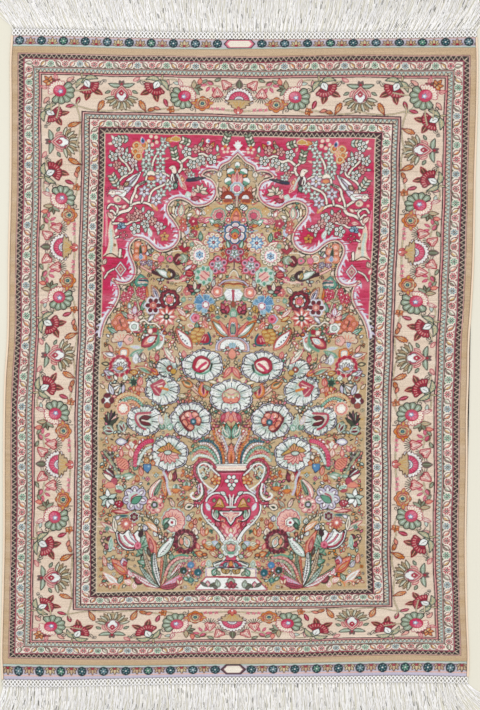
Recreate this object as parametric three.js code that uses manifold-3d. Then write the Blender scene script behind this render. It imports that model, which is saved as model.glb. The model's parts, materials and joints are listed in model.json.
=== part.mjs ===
// A small silk prayer rug lying flat: one knotted cloth with thin woven ends, an overcast cord
// along each side, and a knotted fringe at both ends. Millimetres, +Z up, +Y towards the top of
// the niche. The cloth is a hand-woven thing, so its outline leans and wavers a little.
import * as THREE from 'three';
import { mergeVertices } from 'three/addons/utils/BufferGeometryUtils.js';
import Module from 'manifold-3d';

// Driving dimensions
const PILE_HEIGHT = 3.0;
const PILE_SHOULDER = 2.4;
const FLATWEAVE_HEIGHT = 1.3;
const SHOULDER_RUN = 1.6;
const SEAM_GAP = 0.3;
const CORD_WIDTH = 2.9;
const CORD_HEIGHT = 2.6;
const NET_DEPTH = 7.0;
const NET_HEIGHT = 1.2;
const STRANDS = 118;
const STRAND_LENGTH = 66;
const STRAND_WIDTH = 3.9;
const STRAND_TIP_WIDTH = 2.2;
const STRAND_HEIGHT = 1.5;
const STRAND_TIP_HEIGHT = 0.9;
const STRAND_ROOT_HEIGHT = 0.9;
const ROOT_IN_NET = 2.5;
const STRAND_STEPS = 3;
const LENGTH_SCATTER = 0.07;
const LEAN_SCATTER = 3.5;
const NEIGHBOUR_SHARE = 0.78;
const BODY_ROWS = 30;
const BODY_COLUMNS = 18;

// The side edges of the cloth, cords included, by height above its middle
const SIDES = [
  { y: -422, left: -312.2, right: 300.6 },
  { y: -390, left: -313.3, right: 301.2 },
  { y: -330, left: -312.0, right: 298.9 },
  { y: -240, left: -310.1, right: 297.5 },
  { y: -135, left: -310.1, right: 299.1 },
  { y: -80, left: -309.8, right: 299.1 },
  { y: -30, left: -308.6, right: 300.6 },
  { y: 25, left: -305.0, right: 301.8 },
  { y: 75, left: -304.1, right: 305.2 },
  { y: 130, left: -303.7, right: 307.8 },
  { y: 235, left: -301.4, right: 309.8 },
  { y: 340, left: -301.0, right: 312.7 },
  { y: 390, left: -301.2, right: 313.2 },
  { y: 422, left: -299.3, right: 312.2 },
];

// The lines that run across: the cloth's two ends, and where the pile meets the woven ends
const ENDS = [
  { x: -312, low: -421.2, pileLow: -400.6, pileHigh: 408.5, high: 422.9 },
  { x: -235, low: -421.8, pileLow: -402.2, pileHigh: 408.3, high: 421.8 },
  { x: -143, low: -419.6, pileLow: -402.8, pileHigh: 405.5, high: 419.5 },
  { x: -52, low: -417.9, pileLow: -401.3, pileHigh: 404.4, high: 417.9 },
  { x: 53, low: -417.4, pileLow: -400.5, pileHigh: 405.1, high: 417.6 },
  { x: 145, low: -416.6, pileLow: -398.2, pileHigh: 406.4, high: 418.4 },
  { x: 223, low: -415.8, pileLow: -396.9, pileHigh: 406.8, high: 418.9 },
  { x: 302, low: -417.6, pileLow: -397.6, pileHigh: 406.9, high: 420.5 },
];

// How the fringe lies, by share of the way along each end from left to right: the lean of its
// strands in degrees towards the right, where they leave the net and at their tips
const LIE_HIGH = [
  { share: 0.0, root: -30, tip: -46 },
  { share: 0.06, root: -30, tip: -24 },
  { share: 0.2, root: -24, tip: -10 },
  { share: 0.38, root: -12, tip: -3 },
  { share: 0.55, root: 4, tip: 3 },
  { share: 0.72, root: 22, tip: 7 },
  { share: 0.88, root: 34, tip: 12 },
  { share: 0.96, root: 32, tip: 22 },
  { share: 1.0, root: 34, tip: 44 },
];
const LIE_LOW = [
  { share: 0.0, root: -8, tip: -38 },
  { share: 0.08, root: 4, tip: -34 },
  { share: 0.22, root: 4, tip: -26 },
  { share: 0.4, root: 2, tip: -10 },
  { share: 0.6, root: 2, tip: 0 },
  { share: 0.8, root: 6, tip: 6 },
  { share: 0.92, root: 8, tip: 16 },
  { share: 0.965, root: 16, tip: 36 },
  { share: 1.0, root: 44, tip: 84 },
];

// A smooth curve through a table: the value of one column against another
function through(rows, from, to) {
  const slopeAt = (i) => {
    const a = rows[Math.max(i - 1, 0)];
    const b = rows[Math.min(i + 1, rows.length - 1)];
    return (b[to] - a[to]) / (b[from] - a[from]);
  };
  return (at) => {
    let i = 0;
    while (i < rows.length - 2 && at > rows[i + 1][from]) i += 1;
    const run = rows[i + 1][from] - rows[i][from];
    const k = THREE.MathUtils.clamp((at - rows[i][from]) / run, 0, 1);
    const bend = (2 * k * k * k - 3 * k * k + 1) * rows[i][to];
    const reach = (3 * k * k - 2 * k * k * k) * rows[i + 1][to];
    const leave = (k * k * k - 2 * k * k + k) * run * slopeAt(i);
    const arrive = (k * k * k - k * k) * run * slopeAt(i + 1);
    return bend + reach + leave + arrive;
  };
}

const leftEdge = through(SIDES, 'y', 'left');
const rightEdge = through(SIDES, 'y', 'right');

// The plan point a share of the way across the cloth, on a line that runs across it
function across(share, line, inset) {
  let x = THREE.MathUtils.lerp(leftEdge(0), rightEdge(0), share);
  let y = line(x);
  for (let pass = 0; pass < 4; pass += 1) {
    x = THREE.MathUtils.lerp(leftEdge(y) + inset, rightEdge(y) - inset, share);
    y = line(x);
  }
  return { x, y };
}

// The shares across the cloth at which both the cloth and the nets have their points, so that
// their facing edges run parallel
function columnShares() {
  const lip = SHOULDER_RUN / (rightEdge(0) - leftEdge(0));
  const shares = [0, lip];
  for (let i = 1; i < BODY_COLUMNS; i += 1) shares.push(i / BODY_COLUMNS);
  shares.push(1 - lip, 1);
  return shares;
}

// A steady, repeatable scatter between -1 and 1
function scatter(i, seed) {
  const wave = Math.sin(i * 12.9898 + seed * 78.233) * 43758.5453;
  return 2 * (wave - Math.floor(wave)) - 1;
}

function bodyFrom(points, faces) {
  const geometry = new THREE.BufferGeometry();
  geometry.setAttribute('position', new THREE.Float32BufferAttribute(points.flat(), 3));
  geometry.setIndex(faces.flat());
  return geometry;
}

// A closed body from a row of rings, each a loop of the same number of points
function loft(rings) {
  const sides = rings[0].length;
  const points = rings.flat();
  const faces = [];
  for (let r = 0; r < rings.length - 1; r += 1) {
    for (let k = 0; k < sides; k += 1) {
      const a = r * sides + k;
      const b = r * sides + ((k + 1) % sides);
      faces.push([a, b, b + sides], [a, b + sides, a + sides]);
    }
  }
  const last = (rings.length - 1) * sides;
  for (let k = 1; k < sides - 1; k += 1) {
    faces.push([0, k + 1, k], [last, last + k, last + k + 1]);
  }
  return bodyFrom(points, faces);
}

// A flat-bottomed sheet over a grid of plan points, each with its own height
function slab(grid) {
  const columns = grid[0].length;
  const count = grid.length * columns;
  const top = grid.flat().map((p) => [p.x, p.y, p.z]);
  const underside = grid.flat().map((p) => [p.x, p.y, 0]);
  const faces = [];
  for (let r = 0; r < grid.length - 1; r += 1) {
    for (let c = 0; c < columns - 1; c += 1) {
      const a = r * columns + c;
      const d = a + columns;
      faces.push([a, a + 1, d + 1], [a, d + 1, d]);
      faces.push([count + a, count + d + 1, count + a + 1], [count + a, count + d, count + d + 1]);
    }
  }
  const rim = [];
  for (let c = 0; c < columns - 1; c += 1) rim.push(c);
  for (let r = 0; r < grid.length - 1; r += 1) rim.push(r * columns + columns - 1);
  for (let c = columns - 1; c > 0; c -= 1) rim.push((grid.length - 1) * columns + c);
  for (let r = grid.length - 1; r > 0; r -= 1) rim.push(r * columns);
  rim.forEach((a, i) => {
    const b = rim[(i + 1) % rim.length];
    faces.push([a, count + a, count + b], [a, count + b, b]);
  });
  return bodyFrom([...top, ...underside], faces);
}

// The lines across the cloth from its low end to its high one, with the height of the cloth there
// and at its side edges. The cords have their rings on the same lines, so they run alongside.
function crossLines() {
  const line = (name) => through(ENDS, 'x', name);
  const shifted = (name, by) => (x) => line(name)(x) + by;
  const between = (k) => (x) => THREE.MathUtils.lerp(line('pileLow')(x), line('pileHigh')(x), k);
  const stations = [
    { at: line('low'), height: FLATWEAVE_HEIGHT, shoulder: FLATWEAVE_HEIGHT },
    { at: line('pileLow'), height: FLATWEAVE_HEIGHT, shoulder: FLATWEAVE_HEIGHT },
    { at: shifted('pileLow', SHOULDER_RUN / 4), height: PILE_SHOULDER, shoulder: PILE_SHOULDER },
    { at: shifted('pileLow', SHOULDER_RUN), height: PILE_HEIGHT, shoulder: PILE_SHOULDER },
  ];
  for (let i = 1; i < BODY_ROWS; i += 1) {
    stations.push({ at: between(i / BODY_ROWS), height: PILE_HEIGHT, shoulder: PILE_SHOULDER });
  }
  stations.push(
    { at: shifted('pileHigh', -SHOULDER_RUN), height: PILE_HEIGHT, shoulder: PILE_SHOULDER },
    { at: shifted('pileHigh', -SHOULDER_RUN / 4), height: PILE_SHOULDER, shoulder: PILE_SHOULDER },
    { at: line('pileHigh'), height: FLATWEAVE_HEIGHT, shoulder: FLATWEAVE_HEIGHT },
    { at: line('high'), height: FLATWEAVE_HEIGHT, shoulder: FLATWEAVE_HEIGHT },
  );
  return stations;
}

// The cloth: thin woven ends, and the pile between them with a soft shoulder all round
function carpetGeometry() {
  const grid = crossLines().map(({ at, height, shoulder }) => columnShares().map((share) => {
    const rimmed = share === 0 || share === 1;
    return { ...across(share, at, CORD_WIDTH + SEAM_GAP), z: rimmed ? shoulder : height };
  }));
  return slab(grid);
}

// The overcast cord along one side, flat where it touches the floor
function cordGeometry(share) {
  const inward = share === 0 ? 1 : -1;
  const section = [
    { u: -0.24, v: 0 },
    { u: 0.24, v: 0 },
    { u: 0.46, v: 0.2 },
    { u: 0.5, v: 0.5 },
    { u: 0.36, v: 0.86 },
    { u: 0, v: 1 },
    { u: -0.36, v: 0.86 },
    { u: -0.5, v: 0.5 },
    { u: -0.46, v: 0.2 },
  ];
  const rings = crossLines().map(({ at }) => {
    const { x, y } = across(share, at, 0);
    const middle = x + (inward * CORD_WIDTH) / 2;
    return section.map(({ u, v }) => [middle + u * CORD_WIDTH, y, v * CORD_HEIGHT]).reverse();
  });
  return loft(rings);
}

// The middle line of one strand, laid out from the net step by step as its lean changes
function strandPath(number, end) {
  const share = (number + 0.5) / STRANDS;
  const start = across(share, end.line, CORD_WIDTH / 2);
  const length = STRAND_LENGTH * (1 + LENGTH_SCATTER * scatter(number, end.seed));
  const root = end.root(share);
  const tip = end.tip(share) + LEAN_SCATTER * scatter(number, end.seed + 1);
  let { x } = start;
  let y = start.y + end.out * (SEAM_GAP + NET_DEPTH - ROOT_IN_NET);
  const path = [{ x, y, lean: THREE.MathUtils.degToRad(root) }];
  for (let i = 1; i <= STRAND_STEPS; i += 1) {
    const from = (i - 1) / STRAND_STEPS;
    const to = i / STRAND_STEPS;
    const lean = THREE.MathUtils.degToRad(THREE.MathUtils.lerp(root, tip, (from + to) / 2));
    const step = (length + ROOT_IN_NET) / STRAND_STEPS;
    x += step * Math.sin(lean);
    y += end.out * step * Math.cos(lean);
    path.push({ x, y, lean: THREE.MathUtils.degToRad(THREE.MathUtils.lerp(root, tip, to)) });
  }
  return path;
}

// One strand: three sides, a flat underside on the floor and a ridge above its middle line
function strandGeometry(path, room, end) {
  const rings = path.map(({ x, y, lean }, i) => {
    const k = i / STRAND_STEPS;
    const wanted = THREE.MathUtils.lerp(STRAND_WIDTH, STRAND_TIP_WIDTH, k * k);
    const half = Math.min(wanted, room[i] * NEIGHBOUR_SHARE) / 2;
    const full = THREE.MathUtils.lerp(STRAND_HEIGHT, STRAND_TIP_HEIGHT, k);
    const ridge = i === 0 ? STRAND_ROOT_HEIGHT : full;
    const sideX = Math.cos(lean) * half;
    const sideY = -end.out * Math.sin(lean) * half;
    const ring = [[x - sideX, y - sideY, 0], [x + sideX, y + sideY, 0], [x, y, ridge]];
    return end.out > 0 ? ring.reverse() : ring;
  });
  return loft(rings);
}

// The knotted heading of a fringe: a narrow strip that follows the cloth's end
function netGeometry(end) {
  const rings = columnShares().map((share) => {
    const { x, y } = across(share, end.line, 0);
    const inner = y + end.out * SEAM_GAP;
    const outer = inner + end.out * NET_DEPTH;
    const ring = [[x, inner, 0], [x, outer, 0], [x, outer, NET_HEIGHT], [x, inner, NET_HEIGHT]];
    return end.out > 0 ? ring : ring.reverse();
  });
  return loft(rings);
}

const wasm = await Module();
wasm.setup();

function solidFrom(geometry) {
  const merged = mergeVertices(geometry, 1e-4);
  return new wasm.Manifold(new wasm.Mesh({
    numProp: 3,
    vertProperties: new Float32Array(merged.attributes.position.array),
    triVerts: new Uint32Array(merged.index.array),
  }));
}

function geometryFrom(solid) {
  const mesh = solid.getMesh();
  const geometry = new THREE.BufferGeometry();
  geometry.setAttribute('position', new THREE.Float32BufferAttribute(mesh.vertProperties, 3));
  geometry.setIndex(Array.from(mesh.triVerts));
  return geometry;
}

function fringeGeometry(lie, lineName, out, seed) {
  const end = {
    line: through(ENDS, 'x', lineName),
    root: through(lie, 'share', 'root'),
    tip: through(lie, 'share', 'tip'),
    out,
    seed,
  };
  const paths = [];
  for (let i = 0; i < STRANDS; i += 1) paths.push(strandPath(i, end));
  const gap = (a, b) => {
    const sideways = (a.x - b.x) * Math.cos(a.lean);
    const along = end.out * (a.y - b.y) * Math.sin(a.lean);
    return Math.abs(sideways - along);
  };
  let solid = solidFrom(netGeometry(end));
  paths.forEach((path, i) => {
    const before = paths[Math.max(i - 1, 0)];
    const after = paths[Math.min(i + 1, STRANDS - 1)];
    const room = path.map((p, k) => {
      const gaps = [];
      if (i > 0) gaps.push(gap(p, before[k]));
      if (i < STRANDS - 1) gaps.push(gap(p, after[k]));
      return Math.min(...gaps);
    });
    solid = solid.add(solidFrom(strandGeometry(path, room, end)));
  });
  return geometryFrom(solid);
}

const pileSilk = new THREE.MeshStandardMaterial({ color: 0xc3a184, roughness: 0.6, metalness: 0 });
const cordSilk = new THREE.MeshStandardMaterial({ color: 0xdcc6ae, roughness: 0.65, metalness: 0 });
const warpSilk = new THREE.MeshStandardMaterial({ color: 0xebe6e1, roughness: 0.55, metalness: 0 });

const pieces = [
  { name: 'carpet', geometry: carpetGeometry(), material: pileSilk },
  { name: 'selvedge_left', geometry: cordGeometry(0), material: cordSilk },
  { name: 'selvedge_right', geometry: cordGeometry(1), material: cordSilk },
  { name: 'fringe_top', geometry: fringeGeometry(LIE_HIGH, 'high', 1, 3), material: warpSilk },
  { name: 'fringe_bottom', geometry: fringeGeometry(LIE_LOW, 'low', -1, 8), material: warpSilk },
];

const rug = new THREE.Group();
pieces.forEach(({ name, geometry, material }) => {
  const mesh = new THREE.Mesh(geometry, material);
  mesh.name = name;
  rug.add(mesh);
});

// The origin is the middle of the underside of the whole rug, fringes included
const extent = new THREE.Box3().setFromObject(rug);
const middle = extent.getCenter(new THREE.Vector3());
rug.position.set(-middle.x, -middle.y, 0);

export default rug;
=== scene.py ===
# %% [markdown]
# # A small silk prayer rug
#
# The real thing is knotted: silk warps are stretched on a loom, dyed silk is tied on them knot by
# knot, and each row is beaten down and sheared to about two millimetres. The first and last
# centimetres are woven flat, the sides are overcast into cords, and the cut warps are knotted into
# a net and a fringe. This file builds it in that order: the design as a weaver's cartoon, the cloth
# that the design is knotted into, the cords, the nets and fringes, and then floor, light and camera.

# %% Frame
import json
import bpy
import numpy as np
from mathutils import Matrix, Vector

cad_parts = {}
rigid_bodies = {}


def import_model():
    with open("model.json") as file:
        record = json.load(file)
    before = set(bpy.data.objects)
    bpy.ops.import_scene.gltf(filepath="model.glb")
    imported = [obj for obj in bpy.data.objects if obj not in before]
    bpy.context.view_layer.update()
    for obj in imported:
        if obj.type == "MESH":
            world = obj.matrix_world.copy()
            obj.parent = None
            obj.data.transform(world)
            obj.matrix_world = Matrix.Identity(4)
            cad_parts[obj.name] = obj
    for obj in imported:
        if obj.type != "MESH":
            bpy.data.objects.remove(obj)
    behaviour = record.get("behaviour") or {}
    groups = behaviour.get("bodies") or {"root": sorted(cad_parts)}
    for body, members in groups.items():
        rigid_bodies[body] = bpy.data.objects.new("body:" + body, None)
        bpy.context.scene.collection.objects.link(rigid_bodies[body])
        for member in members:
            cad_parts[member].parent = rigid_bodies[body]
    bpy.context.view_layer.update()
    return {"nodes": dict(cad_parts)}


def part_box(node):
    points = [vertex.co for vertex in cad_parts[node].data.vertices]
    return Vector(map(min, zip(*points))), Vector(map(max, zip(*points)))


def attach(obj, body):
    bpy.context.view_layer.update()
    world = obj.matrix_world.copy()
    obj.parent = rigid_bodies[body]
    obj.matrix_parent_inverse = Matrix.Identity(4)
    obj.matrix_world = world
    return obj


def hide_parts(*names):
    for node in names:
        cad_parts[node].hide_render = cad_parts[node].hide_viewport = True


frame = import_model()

MM = 0.001
random = np.random.default_rng(12)
print("nodes:", sorted(frame["nodes"]))

# %% [markdown]
# ## Dyes
#
# The pile and the ends are dyed silk. A rug of this kind has thirty to forty dyes, and each knot
# has one of them. They could be painted by nodes, but a knotted picture is a list of knots, so here
# each dye gets a number, and the design is drawn on a sheet that holds one number for each small
# piece of it. The colours are sRGB hex values; one function turns them to the linear values that
# Blender mixes light with.

# %% Dyes
DYES = {
    "cream": "EBD6C2",
    "ivory": "F8EEDF",
    "white": "F4F7F5",
    "mist": "C6D9CF",
    "sage": "97A48C",
    "olive": "62614A",
    "moss": "3A4430",
    "pine": "223A2D",
    "sea": "5E9C82",
    "teal": "175A66",
    "steel": "6F93A0",
    "sky": "9FC3D6",
    "blue": "4D83B3",
    "navy": "1F2F4C",
    "night": "10303A",
    "lavender": "CFC9DE",
    "lilac": "C9C3CF",
    "mauve": "6E4252",
    "blush": "EBB9AE",
    "salmon": "E3907A",
    "pink": "E27A93",
    "rose": "B2435A",
    "magenta": "CB3B61",
    "cerise": "D6557A",
    "cherry": "B92B4B",
    "crimson": "A81C38",
    "rust": "9A3E2A",
    "maroon": "691225",
    "plum": "3C1823",
    "orange": "D9843F",
    "gold": "CBA052",
    "sand": "C9AE86",
    "straw": "DCC9A0",
    "tan": "CDB18F",
    "fawn": "DFCBB4",
    "brown": "563825",
    "grey": "6C6761",
    "charcoal": "211D1C",
}
DYE_NUMBER = {name: number for number, name in enumerate(DYES)}


def linear(sheet_hex):
    """The linear value of an sRGB hex colour: the curve that a screen's values are stored with, undone."""
    values = np.array([int(sheet_hex[i:i + 2], 16) / 255 for i in (0, 2, 4)])
    return np.where(values <= 0.04045, values / 12.92, ((values + 0.055) / 1.055) ** 2.4)


DYE_VALUES = np.array([linear(sheet_hex) for sheet_hex in DYES.values()])
print(len(DYES), "dyes")

# %% [markdown]
# ## The drawing sheet
#
# A weaver works from a cartoon: squared paper on which each square is a knot. The design is the
# same on both sides of its middle line, so half a cartoon is drawn and read twice. Here the sheet
# is a grid of dye numbers, four samples to the side of a square, and a square is 1.31 mm, about one
# knot and a third. Points on it are complex numbers: the real part counts squares to the right of
# the middle line, the imaginary part squares up from the foot of the field.
#
# Two tools draw everything: one fills a closed path, one draws a line. Later work covers earlier
# work, as with paint.

# %% The drawing sheet
SQUARE = 1.31
SAMPLES = 4
FIELD_HALF = 134.0
FIELD_TALL = 453.5
BORDER = 97.0
WOVEN_END = 16.0
SHEET_LOW = -BORDER - WOVEN_END
SHEET_HIGH = FIELD_TALL + BORDER + WOVEN_END
SHEET_ROWS = int((SHEET_HIGH - SHEET_LOW) * SAMPLES)
SHEET_COLUMNS = int((FIELD_HALF + BORDER) * SAMPLES)
sheet = np.full((SHEET_ROWS, SHEET_COLUMNS), DYE_NUMBER["tan"], np.uint8)


class Place:
    """Somewhere on the sheet: an origin, and where a step to the right and a step up lead from it."""

    def __init__(self, origin=0j, right=1 + 0j, up=1j):
        self.origin = origin
        self.right = right
        self.up = up

    def __call__(self, points):
        """The sheet's points for points that are given in this place's own steps."""
        points = np.asarray(points, complex)
        return self.origin + points.real * self.right + points.imag * self.up

    def at(self, point, size=1.0, turn=0.0):
        """A place inside this one, size times as large and turned anticlockwise by turn degrees."""
        spin = size * np.exp(1j * np.radians(turn))
        steps = self([point, point + spin, point + 1j * spin])
        return Place(steps[0], steps[1] - steps[0], steps[2] - steps[0])

    def flipped(self):
        """The same place seen in a mirror that stands along its upward step."""
        return Place(self.origin, -self.right, self.up)


SHEET = Place()


def sample_columns(low, high):
    """The first and last column of samples between two distances from the middle line."""
    first = int(np.clip(np.floor(low * SAMPLES), 0, SHEET_COLUMNS))
    last = int(np.clip(np.ceil(high * SAMPLES), 0, SHEET_COLUMNS))
    return first, last


def sample_rows(low, high):
    """The first and last row of samples between two heights."""
    first = int(np.clip(np.floor((low - SHEET_LOW) * SAMPLES), 0, SHEET_ROWS))
    last = int(np.clip(np.ceil((high - SHEET_LOW) * SAMPLES), 0, SHEET_ROWS))
    return first, last


def fill(place, path, dye):
    """Colours the inside of a closed path. Going along a row of samples, each crossing of the path
    switches from outside to inside or back, so the running count of crossings is odd inside."""
    start = place(path)
    end = np.roll(start, -1)
    first_row, last_row = sample_rows(start.imag.min(), start.imag.max())
    first, last = sample_columns(start.real.min(), start.real.max())
    if first_row >= last_row or first >= last:
        return
    heights = SHEET_LOW + (np.arange(first_row, last_row) + 0.5) / SAMPLES
    edge, row = np.nonzero((start.imag[:, None] > heights) != (end.imag[:, None] > heights))
    share = (heights[row] - start.imag[edge]) / (end.imag[edge] - start.imag[edge])
    meets = start.real[edge] + share * (end.real[edge] - start.real[edge])
    column = np.clip(np.ceil(meets * SAMPLES - 0.5) - first, 0, last - first).astype(int)
    switches = np.zeros((last_row - first_row, last - first + 1), np.int32)
    np.add.at(switches, (row, column), 1)
    inside = np.cumsum(switches, axis=1)[:, :-1] % 2 == 1
    sheet[first_row:last_row, first:last][inside] = DYE_NUMBER[dye]


def line(place, path, width, dye):
    """Draws a line of that width in squares: every sample nearer to the path than half of it."""
    points = place(path)
    for start, end in zip(points[:-1], points[1:]):
        run = end - start
        reach = width / 2
        low = min(start.imag, end.imag) - reach
        high = max(start.imag, end.imag) + reach
        first_row, last_row = sample_rows(low, high)
        first, last = sample_columns(min(start.real, end.real) - reach, max(start.real, end.real) + reach)
        if first_row >= last_row or first >= last or run == 0:
            continue
        heights = SHEET_LOW + (np.arange(first_row, last_row) + 0.5) / SAMPLES
        there = (np.arange(first, last) + 0.5) / SAMPLES + 1j * heights[:, None]
        share = np.clip(((there - start) * np.conj(run)).real / abs(run) ** 2, 0, 1)
        near = np.abs(there - start - share * run) < reach
        sheet[first_row:last_row, first:last][near] = DYE_NUMBER[dye]


def curve(points, steps=6):
    """A smooth line through points: between two of them a cubic leaves and arrives along the line
    that joins their neighbours."""
    points = np.asarray(points, complex)
    before = np.concatenate([points[:1], points[:-2]])
    after = np.concatenate([points[2:], points[-1:]])
    leave = (points[1:] - before) / 2
    arrive = (after - points[:-1]) / 2
    k = np.arange(steps)[:, None] / steps
    rise = 3 * k ** 2 - 2 * k ** 3
    made = (1 - rise) * points[:-1] + rise * points[1:]
    made = made + (k ** 3 - 2 * k ** 2 + k) * leave + (k ** 3 - k ** 2) * arrive
    return np.append(made.T.ravel(), points[-1])


def oval(width, height):
    """A closed ellipse."""
    turn = np.linspace(0, 2 * np.pi, 25)[:-1]
    return width / 2 * np.cos(turn) + 0.5j * height * np.sin(turn)


def scallops(count, radius, depth):
    """A closed ring of round lobes: the radius swells by depth at the middle of each lobe."""
    turn = np.linspace(0, 2 * np.pi, count * 8 + 1)[:-1]
    return (radius + depth * np.abs(np.sin(count * turn / 2))) * np.exp(1j * turn)


def star(count, outer, inner):
    """A closed star: its radius swings from outer to inner and back count times."""
    turn = np.linspace(0, 2 * np.pi, 2 * count + 1)[:-1]
    return np.where(np.arange(2 * count) % 2 == 0, outer, inner) * np.exp(1j * turn)


def fan(first, last, count, radius, depth):
    """A closed slice of a scalloped ring, from one angle to another in degrees, with its point at 0."""
    share = np.linspace(0, 1, count * 8 + 1)
    turn = np.radians(first + (last - first) * share)
    return np.append((radius + depth * np.abs(np.sin(np.pi * count * share))) * np.exp(1j * turn), 0)


def blade(length, width, bend=0.0):
    """A closed leaf from 0 up to a tip at length: its width follows a sine, fullest before the
    middle, and bend moves its middle sideways as a share of the length."""
    share = np.linspace(0, 1, 13)
    spine = 1j * share * length + bend * length * np.sin(np.pi * share)
    half = width / 2 * np.sin(np.pi * share ** 0.8)
    return np.concatenate([spine + half, (spine - half)[-2:0:-1]])


def saw(length, width, teeth):
    """A closed leaf with teeth: as a blade, with its edge stepping in and out."""
    share = np.linspace(0, 1, 2 * teeth + 1)
    spine = 1j * share * length
    bite = np.where(np.arange(2 * teeth + 1) % 2 == 0, 0.62, 1.12)
    half = width / 2 * np.sin(np.pi * share ** 0.8) * bite
    return np.concatenate([spine + half - 0.12j * length * bite,
                           (spine - half - 0.12j * length * bite)[-2:0:-1]])


def shape(place, path, dye, edge=None, width=0.9):
    """A filled path with an outline of another dye."""
    if edge:
        line(place, np.append(path, path[0]), 2.4 * width, edge)
    fill(place, path, dye)


def dot(place, point, size, dye):
    """A round spot."""
    fill(place.at(point), oval(size, size), dye)


def leaf(place, point, turn, length, width, dye, edge=None, bend=0.0, rib=None):
    """A leaf that points upwards before it is turned, with an outline and a middle rib if asked for."""
    here = place.at(point, turn=turn)
    shape(here, blade(length, width, bend), dye, edge, 0.7)
    if rib:
        share = np.linspace(0.12, 0.85, 6)
        line(here, 1j * share * length + bend * length * np.sin(np.pi * share), 0.7, rib)
    if rib and length > 13:
        for share in np.arange(0.22, 0.75, 2.4 / length):
            root = 1j * share * length + bend * length * np.sin(np.pi * share)
            for side in (-1, 1):
                line(here, [root, root + width * (0.32 * side + 0.3j)], 0.5, rib)


def petals(place, count, inner, length, width, dye, edge=None, turn=0.0):
    """Leaves round a middle, each starting inner away from it."""
    for number in range(count):
        spot = place.at(0, turn=turn + 360 * number / count)
        shape(spot.at(1j * inner), blade(length, width), dye, edge, 0.6)


def value(word):
    """What a word of a table stands for: a point of the sheet if it ends in j, nothing if it is a
    dash, a number if it ends in a figure, or else a dye."""
    if word.endswith("j"):
        return complex(word)
    if word[-1].isdigit():
        return float(word) if "." in word else int(word)
    return None if word == "-" else word


def rows_of(table):
    """The rows of a table in text. Commas part the rows, and blanks part what they hold."""
    return [[value(word) for word in row.split()] for row in table.split(",")]


print("sheet of", SHEET_COLUMNS, "by", SHEET_ROWS, "samples")

# %% [markdown]
# ## Borders
#
# The borders are nested frames. From the outside in they are a plain band, a zigzag, a small
# flower border, a row of little triangles, the main border, and the three narrow ones again on its
# inner side. They are drawn from the outermost inwards, each as a block that the next covers.

# %% Plain bands
OUTER_BANDS = [
    (97.0, "tan"),
    (89.3, "plum"),
    (88.7, "blush"),
]
MIDDLE_BANDS = [
    (83.2, "rose"),
    (82.4, "grey"),
    (81.7, "ivory"),
    (73.9, "plum"),
    (73.0, "blush"),
    (72.4, "grey"),
    (71.7, "mist"),
    (68.0, "grey"),
    (67.3, "rose"),
    (66.5, "blush"),
    (65.7, "plum"),
    (64.5, "cream"),
    (24.4, "plum"),
    (23.6, "mauve"),
    (23.0, "blush"),
    (22.0, "maroon"),
    (21.2, "grey"),
    (20.6, "mist"),
    (17.0, "grey"),
    (16.3, "maroon"),
    (15.5, "ivory"),
    (7.2, "rose"),
    (6.4, "plum"),
]
INNER_BANDS = [
    (0.9, "fawn"),
    (0.0, "sand"),
]


def block(out, dye):
    """Fills the sheet from its middle to the line that lies out squares beyond the field."""
    half = FIELD_HALF + out
    fill(SHEET, [-1j * out, half - 1j * out, half + 1j * (FIELD_TALL + out), 1j * (FIELD_TALL + out)],
         dye)


def blocks(bands):
    """Nested blocks, from the outermost inwards."""
    for out, dye in bands:
        block(out, dye)


# %% [markdown]
# Repeats run along a border in even steps that are stretched a little to meet the corners. A ring
# of places gives each step its spot, with its upward step leading away from the field, and turns
# half way round at each corner.

# %% Steps along a border


def ring(out, step):
    """Places along one frame, from the middle of the top to the middle of the foot, and at corners.
    Each carries its number, which counts up from 0 at the middle of each side."""
    wide = FIELD_HALF + out
    tall = FIELD_TALL + 2 * out
    across = int(round(wide / step))
    down = int(round(tall / (2 * step))) * 2
    found = []
    for number in range(across):
        found.append((number, Place(number * wide / across + 1j * (FIELD_TALL + out), 1, 1j)))
    diagonal = np.exp(0.25j * np.pi)
    found.append((across, Place(wide + 1j * (FIELD_TALL + out), diagonal / 1j, diagonal)))
    for number in range(1, down):
        found.append((number - down // 2, Place(wide + 1j * (FIELD_TALL + out - number * tall / down),
                                                -1j, 1)))
    found.append((across, Place(wide - 1j * out, -diagonal, np.conj(diagonal))))
    for number in reversed(range(across)):
        found.append((number, Place(number * wide / across - 1j * out, -1, -1j)))
    return found


def zigzag(out, deep, step, outer, inner, thread):
    """Triangles of two dyes along both sides of a zigzag line of a third."""
    block(out + deep / 2, outer)
    places = [place for number, place in ring(out, step / 2)]
    swing = deep / 2 * 0.86
    points = [place([1j * swing * (1 if k % 2 else -1)])[0] for k, place in enumerate(places)]
    ends = [1j * points[-1].imag, 1j * points[0].imag]
    fill(SHEET, np.append(points, ends), inner)
    line(SHEET, np.array(points), 0.5, thread)


def triangles(out, deep, step, dye, ground):
    """A row of small triangles that stand on the inner side of a narrow band."""
    for number, place in ring(out, step):
        low = -deep / 2
        shape(place, np.array([-step * 0.36 + 1j * low, step * 0.36 + 1j * low, 1j * (deep / 2 - 0.8)]),
              dye, ground, 0.55)


def guard_flower(place, dye, heart):
    """A round little flower about seven squares across: eight petals, parted by light lines."""
    fill(place, scallops(8, 2.9, 0.6), dye)
    for ray in np.exp(0.25j * np.pi * np.arange(8)):
        line(place, [1.3 * ray, 3.6 * ray], 0.5, heart)
    dot(place, 0, 2.6, "plum" if dye in ("cherry", "crimson") else "charcoal")
    dot(place, 0, 0.9, heart)


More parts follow.
